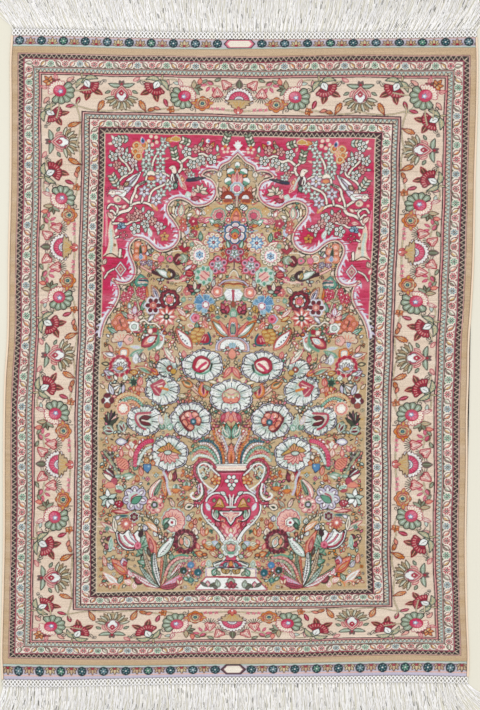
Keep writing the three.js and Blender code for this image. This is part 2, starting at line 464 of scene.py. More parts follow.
def small_border(out, deep):
    """Red and green flowers in turn, with an outlined oval leaning one way or the other between
    them, and small triangles that hang from both edges."""
    flowers = [("crimson", "ivory"), ("sea", "ivory"), ("cherry", "ivory"), ("steel", "ivory")]
    leaves = ["orange", "gold", "salmon", "olive", "gold", "sage"]
    for number, place in ring(out, 7.35):
        if number % 2 == 0:
            dye, heart = flowers[(number // 2) % 4]
            guard_flower(place, dye, heart)
        else:
            turn = 35 if (number // 2) % 2 else -35
            here = place.at(0, turn=turn).at(-3.2j)
            shape(here, blade(6.4, 3.4), "ivory", "maroon", 0.75)
            fill(here, np.append(blade(6.4, 3.0)[:13], 0), leaves[(number * 7 // 2) % 6])
        for side in (-1, 1):
            edge = place.at(3.7 + 1j * side * (deep / 2))
            fill(edge, np.array([-1.7, 1.7, -1j * side * 1.9]), "rose" if side > 0 else "olive")


blocks(OUTER_BANDS)
zigzag(85.65, 4.9, 5.05, "charcoal", "plum", "fawn")
blocks(MIDDLE_BANDS)
small_border(77.7, 7.8)
triangles(69.85, 3.8, 4.1, "fawn", "plum")
triangles(18.8, 3.7, 4.1, "fawn", "plum")
small_border(11.05, 7.9)
zigzag(3.3, 4.8, 5.0, "plum", "charcoal", "fawn")
blocks(INNER_BANDS)
print("guards drawn")

# %% [markdown]
# ## The main border
#
# Large flowers on thin stems stand in the main border: a lotus, twin striped bells, a pinwheel, an
# open rose, two thistles and a scalloped palmette. Half a repeat runs from a lotus to a palmette,
# and the border is that half read forwards and backwards. Each flower is a short function that
# draws it upright; the places in the table turn it and set it in the border.

# %% Flowers of the main border


def lotus(place):
    """A drop-shaped flower with a white heart, two broad leaves behind it and a ruff of leaflets."""
    for turn in np.linspace(105, 255, 11):
        dye = "sage" if int(turn) % 2 else "sand"
        spot = 7.4 * 1j * np.exp(1j * np.radians(turn))
        leaf(place.at(-2j), spot, turn, 9.6, 3.1, dye, "mauve" if int(turn) % 3 else "brown",
             rib="ivory" if int(turn) % 2 else "olive")
    for side in (-1, 1):
        here = place if side > 0 else place.flipped()
        leaf(here, 1.2 + 9.6j, -82, 11.5, 4.2, "sage", "charcoal", bend=0.08, rib="mist")
        leaf(here, 6.5 + 4.5j, -150, 6.6, 2.6, "blush", "rose")
        leaf(here, 11.5 + 3.0j, -120, 5.0, 2.2, "sage", "charcoal")
    leaf(place, 9.5j, 20, 5.5, 2.4, "olive", "mauve")
    leaf(place, 9.5j, -20, 5.5, 2.4, "olive", "mauve")
    dot(place, 11.2j, 2.6, "crimson")
    for low, tall, wide, dye, edge in rows_of("""
            -8 17.5 15 blush maroon, -7.8 15.2 12.2 salmon rose, -7.7 14 10.8 ivory rose,
            -7.4 12 8.6 mist mauve"""):
        shape(place.at(1j * low), blade(tall, wide), dye, edge, 0.55)
    shape(place.at(-6.6j), scallops(3, 3.4, 1.6) * 1j + 3.6j, "white", "mauve", 0.6)
    leaf(place, -1.6j, 0, 6.0, 3.8, "crimson", "rose")
    dot(place, 0.8j, 1.4, "ivory")


def bell(place):
    """Twin bells seen from the side: a deep red crescent with light stripes on a white calyx that
    three dark-edged sepals hold."""
    line(place, curve([-17j, -1.5 - 12j, -8j]), 2.4, "charcoal")
    line(place, curve([-17j, -1.5 - 12j, -8j]), 1.0, "straw")
    for turn in (42, -34):
        leaf(place, 4.6 * 1j * np.exp(1j * np.radians(turn)), turn, 10.0, 5.2, "brown", "crimson",
             rib="salmon")
    for first in (20, 93):
        shape(place.at(-5.6j), fan(first, first + 67, 4, 11.0, 1.1), "crimson", "maroon", 0.8)
    for turn in np.linspace(28, 152, 9):
        ray = np.exp(1j * np.radians(turn))
        line(place.at(-5.6j), [8.2 * ray, 10.8 * ray], 0.55, "blush")
        line(place.at(-5.6j), [5.8 * ray, 7.4 * ray], 0.9, "maroon")
    for turn, length in ((66, 13.5), (-66, 13.5), (8, 7.0)):
        leaf(place, -11.0j, turn, length, 4.6, "sage", "charcoal", bend=0.14 if turn < 0 else -0.14,
             rib="straw")
    shape(place.at(-9.0j), blade(8.8, 6.4), "white", "charcoal", 0.7)
    line(place, [-7.6j, -3.2j], 0.7, "grey")


def pinwheel(place):
    """A pink disc between a grey-green fan of broad lobes and a frill of small white ones."""
    shape(place, fan(-22, 118, 8, 9.4, 1.6), "ivory", "rose", 0.7)
    for turn in np.linspace(-13, 109, 8):
        ray = np.exp(1j * np.radians(turn))
        line(place, [6.4 * ray, 9.2 * ray], 0.6, "salmon")
    shape(place.at(-0.6 - 0.6j), fan(124, 312, 6, 11.4, 1.9), "sage", "charcoal", 0.9)
    for turn in 124 + 188 * (np.arange(6) + 0.5) / 6:
        ray = np.exp(1j * np.radians(turn))
        line(place.at(-0.6 - 0.6j), [8.0 * ray, 11.0 * ray], 1.0, "mist")
    for turn in 124 + 188 * np.arange(1, 6) / 6:
        ray = np.exp(1j * np.radians(turn))
        line(place.at(-0.6 - 0.6j), [5.8 * ray, 12.2 * ray], 0.9, "charcoal")
    shape(place, oval(11.6, 11.6), "magenta", "crimson", 0.6)
    fill(place.at(1.2 + 1.2j), oval(7.6, 7.6), "pink")
    for turn in range(0, 360, 45):
        ray = np.exp(1j * np.radians(turn))
        line(place, [1.8 * ray, 4.8 * ray], 0.55, "rose")
    shape(place.at(-0.8 - 0.6j), star(5, 2.2, 1.0), "white", "blue", 0.5)


def open_rose(place):
    """A round rose: three rings of orange and straw petals, edged with rust, round a green heart."""
    shape(place, scallops(6, 6.5, 1.5), "orange", "maroon", 0.6)
    shape(place.at(0.7j), scallops(5, 5.2, 0.9) * 1j, "straw", "rust", 0.6)
    shape(place.at(0.4), scallops(5, 4.2, 0.8), "salmon", "rust", 0.6)
    shape(place, scallops(5, 2.7, 0.7) * 1j, "straw", "moss", 0.6)
    dot(place, 0, 4.2, "teal")
    dot(place, 0.2j, 1.0, "sage")


def thistle(place):
    """A red-edged bract like a fan, upside down, over a burst of thin green spikes."""
    for turn in np.linspace(202, 338, 9):
        ray = np.exp(1j * np.radians(turn))
        line(place.at(-1j), [2.6 * ray, 9.2 * ray], 0.9, "charcoal" if int(turn) % 2 else "pine")
    half = np.array([-3.2j, 1.3 - 1.8j, 3.0 - 4.0j, 5.2 - 1.8j, 2.2 + 4.0j])
    shape(place, np.concatenate([half, [6.8j], -np.conj(half[:0:-1])]), "blush", "crimson", 0.9)
    fill(place, np.array([-1.5 + 0.4j, 1.5 + 0.4j, 3.6j]), "maroon")
    for aside in (-3.4, -1.2, 1.2, 3.4):
        line(place, [aside * 0.3 + 4.0j, aside - 1.6j], 0.7, "rose" if abs(aside) > 2 else "ivory")


def palmette(place):
    """A frilled disc that rises out of a tan cup with leafy corners, with a bud on either side."""
    leaf(place, 13.4j, 0, 9.8, 6.0, "olive", "mauve", rib="sage")
    shape(place, fan(-14, 194, 14, 12.0, 1.9), "white", "maroon", 0.6)
    for turn in np.linspace(-7, 187, 14):
        ray = np.exp(1j * np.radians(turn))
        line(place, [10.0 * ray, 12.0 * ray], 0.6, "blush")
    shape(place.at(0.2j), fan(0, 180, 15, 9.2, 0.8), "magenta", "mauve", 0.5)
    for turn in np.linspace(12, 168, 9):
        ray = np.exp(1j * np.radians(turn))
        line(place, [5.4 * ray, 8.4 * ray], 0.8, "pink")
    shape(place, fan(0, 180, 1, 4.6, 0.0), "white", "navy", 0.6)
    shape(place, fan(0, 180, 5, 2.6, 0.5), "lavender", "grey", 0.4)
    half = np.array([1.0j, 3.6 + 0.2j, 8.0 + 0.4j, 12.6 - 0.8j, 8.6 - 2.4j, 10.6 - 4.6j, 6.4 - 4.8j,
                     6.6 - 7.4j, 3.6 - 8.0j])
    shape(place, np.concatenate([half, [-10.4j], -np.conj(half[:0:-1])]), "sand", "brown", 0.7)
    for aside in (-5.2, -2.0, 2.0, 5.2):
        line(place, [aside * 0.3 - 8j, aside - 1.6j], 1.0, "gold")
    for turn in (44, -44, 0):
        leaf(place, -14.0j, turn, 5.6 if turn else 7.0, 3.0, "salmon", "crimson", rib="rose")
    dot(place, -13.2j, 2.0, "white")


def maple_leaf(place, dye="orange", edge="rose"):
    """A leaf of five points."""
    for turn, length in ((0, 8.2), (48, 6.8), (-48, 6.8), (100, 5.2), (-100, 5.2)):
        leaf(place, 0, turn, length, 3.4, dye, edge)
        leaf(place, 0, turn, length * 0.7, 1.4, "straw")
    line(place, [-3j, 5.4j], 0.7, "moss")


def sprig(place, dye="pink"):
    """Three little four-petalled flowers on a thread."""
    line(place, curve([-7 - 1j, -2 + 0.6j, 2 - 0.6j, 7 + 0.4j]), 0.6, "olive")
    for point in (-5.2, 0.4j, 5.4):
        petals(place.at(point), 4, 0.3, 2.3, 1.5, dye, turn=30)
        dot(place, point, 0.9, "rose")


def curl(place, dye="grey"):
    """A tendril that winds up on itself: its radius shrinks as it turns."""
    turn = np.linspace(0, 2.6 * np.pi, 22)
    line(place, (3.4 - 0.36 * turn) * np.exp(1j * turn), 0.8, dye)
    line(place, curve([3.4, 3.6 - 2.5j, 2.2 - 5.5j]), 0.8, dye)


def toothed_leaf(place):
    """An orange leaf with teeth, thirteen squares long."""
    shape(place, saw(13.0, 5.0, 6), "orange", "maroon", 0.7)
    fill(place.at(2j), blade(8.6, 2.4), "straw")
    line(place, [1.5j, 10.5j], 0.8, "rust")


# %% Half a repeat
HALF_REPEAT = 117.0
MAIN_MIDDLE = 44.3

STEMS = [
    [-3 - 15j, 12 - 18.6j, 30 - 18.2j, 44 - 15j, 52 - 17j, 62 - 14j],
    [38 + 16j, 46 + 9j, 50 - 2j, 52 - 12j],
    [39 + 17j, 52 + 18j, 60 + 14j],
    [70 - 4j, 74 - 12j, 88 - 14.5j, 104 - 15.5j, 112 - 16j],
    [66 + 9j, 78 + 15.5j, 92 + 16.5j, 104 + 17.5j],
    [80 + 15j, 88 + 11j, 94 + 6j],
    [84 + 15.5j, 90 + 12.5j, 98 + 10.5j],
    [16 + 14j, 21 + 16.5j, 27 + 14.5j],
]


def half_repeat(place):
    """The main border from a lotus at 0 to just short of a palmette at HALF_REPEAT. Thin things
    come first, so that the flowers cover the ends of their stems."""
    for width, dye in ((1.7, "grey"), (0.8, "straw")):
        for points in STEMS:
            line(place, curve(points), width, dye)
    curl(place.at(22 + 13.5j, 0.8, 200), "charcoal")
    curl(place.at(17 + 15.2j, 0.6, 60), "grey")
    curl(place.at(49.5 + 7.5j, 0.95, 150), "charcoal")
    curl(place.at(71 - 15.0j, 0.8, 20), "charcoal")
    toothed_leaf(place.at(19 - 8j, turn=205))
    toothed_leaf(place.at(27.5 - 17.5j, 0.62, 292))
    leaf(place, 43 - 4.5j, 200, 8.5, 3.2, "crimson", "maroon", rib="pink")
    leaf(place, 12 + 16j, -60, 6.5, 2.8, "blush", "rose")
    leaf(place, 33 - 14j, 250, 6.0, 2.6, "salmon", "maroon")
    leaf(place, 57 + 13.5j, 80, 5.5, 2.4, "mist", "grey")
    leaf(place, 44.5 + 9.5j, -12, 8.0, 4.0, "blush", "mauve", rib="salmon")
    maple_leaf(place.at(51 - 15.5j, 0.62, 100), "orange", "rust")
    leaf(place, 60 + 10.5j, 22, 8.5, 3.0, "ivory", "rose", rib="rose")
    for turn, dye in ((-100, "moss"), (-62, "olive"), (-140, "sage"), (-4, "tan")):
        leaf(place, 71.5 + 8.5j, turn, 9.0, 3.6, dye, "brown", rib="sage")
    for point, turn, dye in ((80 + 15j, -60, "sage"), (86 + 16.5j, -118, "olive"),
                             (93 + 17j, -66, "sage")):
        leaf(place, point, turn, 5.6, 2.4, dye, "brown")
    leaf(place, 77.5 + 13.5j, -8, 6.0, 3.4, "salmon", "crimson")
    leaf(place, 70.5 - 9.5j, 120, 6.5, 3.0, "mist", "olive")
    for point, turn in ((84 + 12.5j, 100), (87 + 9.5j, 150), (90 + 13j, 60), (91 + 9j, 190)):
        leaf(place, point, turn, 4.8, 1.7, "pink", "rose")
    sprig(place.at(96 - 14.5j))
    bell(place.at(32.5 + 7.0j, 1.0, 152))
    pinwheel(place.at(63 - 0.4j))
    open_rose(place.at(81 - 8.8j))
    for side in (-1, 1):
        leaf(place, 81 - 8.8j + side * 6.4, -side * 75, 4.6, 2.6, "gold", "rose")
    thistle(place.at(95.5 + 2.6j, 0.95, 6))
    thistle(place.at(104 + 12.4j, 0.9, 38))


TOP_LOTUS = 118.0
SIDE_TURNS = [443.0, 339.4, 233.0, 126.0, 14.0]
CORNER_OUT = 46.5


def corner(place):
    """The flower of a corner: a pinwheel that opens to the outer corner, with leaves behind it.
    The place's upward step leads out along the diagonal."""
    maple_leaf(place.at(14.0j, 1.0, 8), "orange", "maroon")
    maple_leaf(place.at(-4.5 + 10j, 0.7, 50), "brown", "maroon")
    for side in (-1, 1):
        here = place if side > 0 else place.flipped()
        leaf(here, 7.0 + 11.5j, -30, 6.5, 3.2, "blush", "rose", rib="rose")
        leaf(here, 13.5 + 2.5j, -100, 8.0, 3.6, "blush", "maroon", rib="salmon")
        for width, dye in ((1.7, "grey"), (0.8, "straw")):
            line(here, curve([10 - 9j, 15 - 14j, 24 - 20j]), width, dye)
            line(here, curve([12 - 3j, 17 - 5j, 23 - 11j]), width, dye)
        curl(here.at(17.5 - 1.5j, 0.8, 250), "charcoal")
    line(place, curve([-14j, 1 - 18j, -23j]), 0.9, "sage")
    pinwheel(place.at(0, 1.06, 45))


MIDDLE_LINE = FIELD_TALL + MAIN_MIDDLE
SIDE_LINE = FIELD_HALF + MAIN_MIDDLE
for up, level in ((1j, MIDDLE_LINE), (-1j, -MAIN_MIDDLE)):
    lotus_spot = TOP_LOTUS + 1j * level
    half_repeat(Place(lotus_spot, -TOP_LOTUS / HALF_REPEAT, up))
    lotus(Place(lotus_spot + 1.2 * up, 1, up))
    palmette(Place(1j * level - 4.4 * up, 1, up))
for start, end in zip(SIDE_TURNS[:-1], SIDE_TURNS[1:]):
    stretch = (end - start) / HALF_REPEAT
    if start in SIDE_TURNS[::2]:
        half_repeat(Place(SIDE_LINE + 1j * start, 1j * stretch, 1))
    else:
        half_repeat(Place(SIDE_LINE + 1j * end, -1j * stretch, 1))
for number, height in enumerate(SIDE_TURNS):
    if number % 2 == 0:
        lotus(Place(SIDE_LINE + 1.2 + 1j * height, -0.93j, 1))
    else:
        palmette(Place(SIDE_LINE - 4.4 + 1j * height, -0.93j, 1))
print("main border drawn")

# %% Corners of the main border


def corner_run(place):
    """What stands between a lotus and a corner: the first part of a half repeat, bells and leaves."""
    for width, dye in ((1.7, "grey"), (0.8, "straw")):
        line(place, curve(STEMS[0][:5]), width, dye)
    curl(place.at(22 + 13.5j, 0.8, 200), "charcoal")
    curl(place.at(17 + 15.2j, 0.6, 60), "grey")
    toothed_leaf(place.at(19 - 8j, turn=205))
    leaf(place, 43 - 4.5j, 200, 8.5, 3.2, "crimson", "maroon", rib="pink")
    bell(place.at(32.5 + 7.0j, 1.0, 152))


CORNER_STEP = FIELD_HALF + CORNER_OUT - TOP_LOTUS
for up, level, middle in ((1, MIDDLE_LINE, FIELD_TALL + CORNER_OUT), (-1, -MAIN_MIDDLE, -CORNER_OUT)):
    corner_run(Place(TOP_LOTUS + 1j * level, CORNER_STEP / 63, 1j * up))
    nearest = SIDE_TURNS[0] if up > 0 else SIDE_TURNS[-1]
    corner_run(Place(SIDE_LINE + 1j * nearest, 1j * (middle - nearest) / 63, 1))
    diagonal = np.exp(0.25j * np.pi * up)
    corner(Place(FIELD_HALF + CORNER_OUT + 1j * middle, diagonal * -1j * up, diagonal))
print("corners drawn")

# %% [markdown]
# ## The pattern of the woven ends
#
# Each end has a row of dark rosettes and, between them, little fans that stand on a dark line next
# to the pile. In the middle is a framed panel, which stays bare. The high end was beaten down
# harder than the low one, so its pattern is drawn taller here and comes out round.

# %% Woven ends


def end_rosette(place, petal):
    """A dark disc with a ring of six light-centred petals and a light heart."""
    fill(place, oval(9.6, 9.6), "night")
    petals(place, 6, 0.8, 2.7, 1.6, petal, turn=15)
    for number in range(6):
        dot(place, 2.9 * np.exp(1j * np.pi * (number / 3 + 0.25)), 0.7, "mist")
    dot(place, 0, 1.5, "white")


def end_fan(place, petal, edge):
    """Five outlined petals that spread from a red base."""
    for turn in (76, -76, 40, -40, 0):
        leaf(place, 0, turn, 6.4 if abs(turn) < 50 else 5.4, 2.4, petal, edge)
    shape(place.at(0.4j), oval(3.0, 2.2), "crimson", "brown", 0.3)


def panel(place, half_wide, half_tall, slope, rim):
    """A bare panel with pointed ends and a double outline."""
    shoulder = half_wide - slope
    corners = np.array([-half_wide, -shoulder + 1j * half_tall, shoulder + 1j * half_tall])
    outline = np.append(corners, -corners)
    shape(place, outline, rim, "plum", 1.1)
    shape(place, outline * 0.84, "ivory")


def woven_end(place, first, step, panel_shape):
    """One end, with its upward step leading away from the pile."""
    fill(place, np.array([0, 240, 240 + 17j, 17j]), "lilac")
    fill(place, np.array([0, 240, 240 + 1.7j, 1.7j]), "mist")
    fill(place, np.array([0, 240, 240 + 0.9j, 0.9j]) + 10.2j, "blush")
    fill(place, np.array([0, 240, 240 + 3j, 3j]) + 11.6j, "lavender")
    line(place, [first - 4 + 3.0j, 240 + 3.0j], 1.2, "mauve")
    for number in range(10):
        spot = first + number * step
        end_fan(place.at(spot + step / 2 + 3.4j), *(("tan", "brown"), ("straw", "brown"),
                                                    ("sand", "mauve"))[number % 3])
        end_rosette(place.at(spot + 6.4j), ("teal", "steel", "teal", "sea")[number % 4])
    panel(place.at(6.2j), *panel_shape)


woven_end(Place(1j * (FIELD_TALL + BORDER), 1, 1.42j), 22.0, 22.25, (14.4, 4.2, 3.4, "pink"))
woven_end(Place(-1j * BORDER, 1, -1.12j), 17.8, 21.7, (11.2, 4.7, 4.4, "mauve"))
print("woven ends drawn")

# %% [markdown]
# ## The field
#
# The field is a niche with a lobed arch over a vase of flowers. Above the arch are two trees full of
# blossom and birds. As with the borders only one half is drawn: the left one, as it is seen, so
# heights count up from the foot of the field and everything left of the middle line is negative.
#
# The field holds many small things of a few kinds, and each kind is one short function: a twig, a
# blossom with round or pointed petals, a rosette in rings, a leaf. Tables say where each one stands.
# Such a table is plain text: commas part its rows, and blanks part what a row holds.

# %% Small things of the field
FIELD = SHEET.flipped()


def beside(path, distance):
    """A path moved sideways, to the left of the way it runs if distance is more than 0."""
    way = np.gradient(path)
    return path + 1j * distance * way / np.maximum(np.abs(way), 0.001)


def twig(points, width=2.0, dye="ivory", edge="plum"):
    """A branch with a dark edge."""
    path = curve(points)
    line(FIELD, path, width + 1.7, edge)
    line(FIELD, path, width, dye)


def strokes(table):
    """Plain curved strokes. A row holds a width, a dye and the points."""
    for width, dye, *points in rows_of(table):
        line(FIELD, curve(points), width, dye)


LIGHTER = {"salmon": "blush", "blush": "ivory", "orange": "straw", "crimson": "pink", "maroon": "rose",
           "rust": "orange", "sea": "mist", "sage": "mist", "teal": "sea", "rose": "blush",
           "pink": "ivory", "pine": "sea", "moss": "sage", "gold": "straw", "lavender": "white",
           "cream": "white", "fawn": "ivory", "straw": "ivory", "olive": "straw", "plum": "mauve",
           "mist": "white", "white": "mist", "magenta": "pink", "cerise": "pink", "cherry": "rose",
           "sky": "white", "ivory": "fawn", "navy": "steel", "blue": "sky", "charcoal": "grey",
           "grey": "mist", "tan": "ivory", "brown": "tan"}


def lined_leaf(point, turn, length, width, dye, edge):
    """A leaf with an edge. A broad one has a lighter dye inside, and a rib of its edge's dye."""
    leaf(FIELD, point, turn, length, width, dye, edge)
    if edge and width > 2.5:
        tip = point + 0.14j * length * np.exp(1j * np.radians(turn))
        leaf(FIELD, tip, turn, length * 0.7, width * 0.56, LIGHTER[dye],
             rib=edge if width > 3.3 else None)


def leaves(table):
    """Leaves. A row holds the stalk's end, the turn, length, width, dye and edge."""
    for row in rows_of(table):
        lined_leaf(*row)


def blossom(spot, radius, dye="white", edge="moss", heart="pink", count=5, turn=18):
    """Round petals with dark edges round a heart."""
    here = FIELD.at(spot, radius, turn)
    for number in range(count):
        petal = here.at(0.68j * np.exp(2j * np.pi * number / count))
        shape(petal, oval(0.56, 0.64), dye, edge, 0.75)
        fill(petal, oval(0.2, 0.3), "grey" if edge == "moss" else "rose")
    shape(here, oval(0.44, 0.44), "ivory", edge, 0.5)
    fill(here, oval(0.24, 0.24), "crimson" if heart == "pink" else heart)


def star_blossom(spot, radius, dye="mist", edge="grey", heart="pink", count=6, turn=0):
    """Pointed petals with soft edges round a white ring and a heart."""
    here = FIELD.at(spot, radius, turn)
    petals(here, count, 0.12, 0.98, 0.56, dye, edge)
    petals(here, count, 0.3, 0.5, 0.2, "white", None)
    fill(here, oval(0.64, 0.64), "white")
    shape(here, oval(0.38, 0.38), heart, "plum", 0.55)
    fill(here, oval(0.16, 0.16), "blush")


def round_petals(spot, count, away, wide, tall, dye, edge, turn=0.0, width=0.55):
    """Oval petals with edges, whose middles stand on a circle."""
    for number in range(count):
        here = FIELD.at(spot, turn=turn + 360 * number / count)
        shape(here.at(1j * away), oval(wide, tall), dye, edge, width)
        if wide > 3.9:
            fill(here.at(1j * (away + 0.1 * tall)), oval(wide * 0.5, tall * 0.55), LIGHTER[dye])


def rosette(spot, table, size=1.0):
    """Rings of lobes, from the outermost inwards. A row holds a count, a radius, a dye and an edge."""
    for count, radius, dye, edge in rows_of(table):
        shape(FIELD.at(spot), scallops(count, size * radius * 0.86, size * radius * 0.16), dye, edge,
              0.55)


def rays(spot, first, last, count, inner, outer, width, dye):
    """Short lines that leave a point like the spokes of a wheel, between two angles in degrees."""
    for turn in np.linspace(first, last, count):
        ray = np.exp(1j * np.radians(turn))
        line(FIELD, np.array([spot + inner * ray, spot + outer * ray]), width, dye)


def striped(spot, turn, length, width, dye, edge, stripe, count=4):
    """A leaf or bud with slanting stripes on it."""
    leaf(FIELD, spot, turn, length, width, dye, edge)
    here = FIELD.at(spot, turn=turn)
    for share in (np.arange(count) + 1.0) / (count + 1.4):
        half = 0.34 * width * np.sin(np.pi * share ** 0.8)
        line(here, np.array([-half + 1j * (share * length + 0.8), half + 1j * share * length]), 0.7,
             stripe)


def vine(start, turn, length, bow, ink, dye):
    """A stalk that bends steadily, with a little leaf on alternate sides every four squares."""
    steps = np.arange(int(length)) + 0.5
    path = start + np.cumsum(np.exp(1j * np.radians(turn + bow * steps)))
    path = path[(path.real > -130) & (path.imag > 4)]
    line(FIELD, path, 0.65, ink)
    for number in range(2, len(path) - 1, 4):
        lean = turn + bow * number - 90 + (50 if number % 8 < 4 else -50)
        leaf(FIELD, path[number], lean, 3.4, 1.8, dye, ink)


def plume(points, width, dye, edge, barb):
    """A curved feather: a stroke with an edge, and barbs that lean back from its quill on both sides."""
    path = curve(points)
    line(FIELD, path, width + 1.0, edge)
    line(FIELD, path, width, dye)
    for before, here, after in zip(path[0:-2:2], path[1:-1:2], path[2::2]):
        way = (after - before) / abs(after - before)
        for side in (-1, 1):
            line(FIELD, np.array([here, here + way * width * (0.5j * side - 0.5)]), 0.5, barb)


# %% The niche and the ground above it
INKS = ["charcoal", "brown", "crimson", "moss", "plum", "rust", "pine", "charcoal"]
FILLS = ["blush", "straw", "ivory", "sea", "mist", "salmon", "white", "cream", "orange", "pink"]
NICHE = [0.5 + 438j, -4.5 + 433j, -8.5 + 428.5j, -14.5 + 425.5j, -17.5 + 422.5j, -18.5 + 418.5j,
         -18.5 + 418.5j, -23.5 + 420j, -29.5 + 419.5j, -34.5 + 417j, -37 + 413j, -37 + 413j,
         -31.5 + 410.5j, -26.5 + 408.5j, -23 + 404.5j, -21.5 + 399j, -22 + 394j, -25 + 389j, -30 + 385.5j,
         -37 + 383.5j, -43 + 384j, -47 + 387j, -52 + 389.5j, -58.5 + 391j, -65 + 389j, -69 + 385j,
         -70 + 379.5j, -68 + 373.5j, -63 + 367.5j, -59 + 361.5j, -57 + 354.5j, -58 + 348.5j, -62 + 343j,
         -68 + 339.5j, -75 + 338.5j, -80 + 340.5j, -84 + 344j, -88.5 + 348j, -94.5 + 351j, -100.5 + 351j,
         -105 + 347.5j, -107.5 + 342.5j, -107 + 336.5j, -104.5 + 330j, -102 + 324j, -101 + 318j,
         -102.5 + 312j, -107 + 307.5j, -114 + 306j, -122.5 + 308.5j, -122.5 + 308.5j, -119 + 303j,
         -117.5 + 296j, -119 + 289j, -123.5 + 280.5j, -129 + 272j, -132 + 265j, -134 + 258j,
         -134.5 + 253j]
niche = curve(NICHE)
for spot in random.random((1500, 2)) * [134, 446]:
    start = 1j * spot[1] - spot[0]
    dye = ("straw", "fawn", "sand", "blush", "tan", "gold", "cream", "sand", "tan")[random.integers(9)]
    line(FIELD, np.array([start, start + random.uniform(3, 16)]), random.uniform(0.4, 0.9), dye)
for spot in random.random((700, 2)) * [136, 440]:
    vine(1j * spot[1] - spot[0], random.uniform(0, 360), random.uniform(8, 22), random.uniform(-14, 14),
         INKS[random.integers(8)], FILLS[random.integers(10)])
fill(FIELD, np.concatenate([niche, [-134 + niche[-1].imag * 1j, -134 + 453.5j, 453.5j]]), "magenta")
along = np.append(0, np.cumsum(np.abs(np.diff(niche))))
for number, reach in enumerate(np.arange(3, along[-1] - 2, 6.2)):
    spot = np.interp(reach, along, niche.real) + 1j * np.interp(reach, along, niche.imag)
    ahead = np.interp(reach + 1, along, niche.real) + 1j * np.interp(reach + 1, along, niche.imag)
    way = (ahead - spot) / abs(ahead - spot)
    here = Place(FIELD(spot)[()], FIELD(spot + way)[()] - FIELD(spot)[()],
                 FIELD(spot - 1j * way)[()] - FIELD(spot)[()])
    flame = np.array([-2.8 + 1j, 2.4 + 1j, 1.6 + 3j, 3.4 + 6.8j, 0.2 + 4.8j, -1.4 + 3j])
    fill(here, flame, "lavender" if number % 3 else "white")
    if number % 3 == 0:
        shape(here.at(-3j), np.array([-3.4, -1.4 - 2.4j, -3.4j, 1.4 - 2.4j, 3.4]), "cream", "charcoal",
              0.5)
line(FIELD, beside(niche, -1.7), 2.8, "lavender")
line(FIELD, beside(niche, -2.4), 0.9, "white")
line(FIELD, beside(niche, 1.6), 1.4, "charcoal")
line(FIELD, beside(niche, 0.8), 1.4, "cream")
line(FIELD, beside(niche, -0.3), 1.1, "rose")
for spot in random.random((1300, 2)) * [134, 200] + [0, 253]:
    start = 1j * spot[1] - spot[0]
    row, column = sample_rows(spot[1], spot[1])[0], sample_columns(spot[0], spot[0])[0]
    if sheet[row, column] == DYE_NUMBER["magenta"]:
        dye = ("crimson", "cerise", "cherry", "cerise", "cherry")[random.integers(5)]
        line(FIELD, np.array([start, start + random.uniform(2, 8)]), random.uniform(0.6, 1.6), dye)
fill(FIELD, 0.5 + 440j + np.array([-0.8, -5.4 + 5.2j, -3.2 + 5.6j, -3.4 + 8.4j, -1.3 + 7.6j, 11.5j,
                                   1.3 + 7.6j, 3.4 + 8.4j, 3.2 + 5.6j, 5.4 + 5.2j, 0.8]), "white")
print("niche of", len(niche), "points")

# %% Trees, blossom and birds above the arch
fill(FIELD, curve([-133.5 + 331.5j, -129.5 + 337.5j, -128 + 346.5j, -129 + 355.5j, -128 + 363.5j,
                   -125.5 + 368.5j, -123.5 + 374.5j, -119.5 + 373.5j,
                   -121.5 + 368.5j, -124 + 363.5j, -124 + 358.5j, -121.5 + 352j, -119.5 + 344j,
                   -118 + 337j, -114.5 + 331.5j, -133.5 + 331.5j]),
     "cream")
for width, *points in rows_of("""
        2.6 -124.5+367.5j -121.5+372j -116.5+375.5j -109+378j -106+382j -106.5+384.5j,
        2 -106.5+384j -111.5+388j -117.5+392j,
        1.8 -106.5+383j -100.5+385.5j -94.5+386j -89+385j -84+381.5j, 1.6 -95.5+386.5j -94.5+391.5j,
        1.9 -106.5+385j -105.5+390j -103+396j -102+401j -98.5+404j -94.5+406j,
        1.7 -92.5+407.5j -91.5+412.5j -87+417.5j -86+424.5j -84+430j -81.5+434.5j,
        1.8 -88.5+387.5j -87.5+393.5j -84.5+398.5j -79.5+401.5j -74+404j -70+408.5j,
        1.7 -120+399.5j -120+404.5j -116.5+409.5j -110+414j -109+417j -113+423.5j -118+428j -121+433j,
        1.5 -110+414j -106.5+416.5j -105.5+421j, 1.5 -105.5+426.5j -104.5+431.5j -101+436.5j -98+440.5j,
        1.5 -87.5+416.5j -81.5+415j -75.5+415.5j -69.5+412.5j,
        2.2 -59+416.5j -56.5+420.5j -57+425.5j -54.5+428j -50+431j -44+429j -35+432.5j,
        1.6 -39+434j -35+434.5j -31+432.5j -27+432j, 1.5 -57.5+425.5j -61+428.5j -64+434.5j -66.5+439.5j,
        1.5 -55+419j -49+419j, 1.6 -112.5+382.5j -117.5+381j -123.5+382.5j -127.5+382.5j -130+379j,
        1.6 -121.5+372.5j -119.5+378.5j -122+381.5j, 1.5 -122+373.5j -125+376.5j -127+376.5j,
        1.5 -124.5+364j -116+364.5j -110+364j -106+366.5j -100+368j -93.5+370j,
        1.4 -121.5+350j -118.5+351.5j, 2 -116.5+331.5j -116+338.5j, 1.2 -122+319.5j -128+316j -132+310j"""):
    twig(points, width)
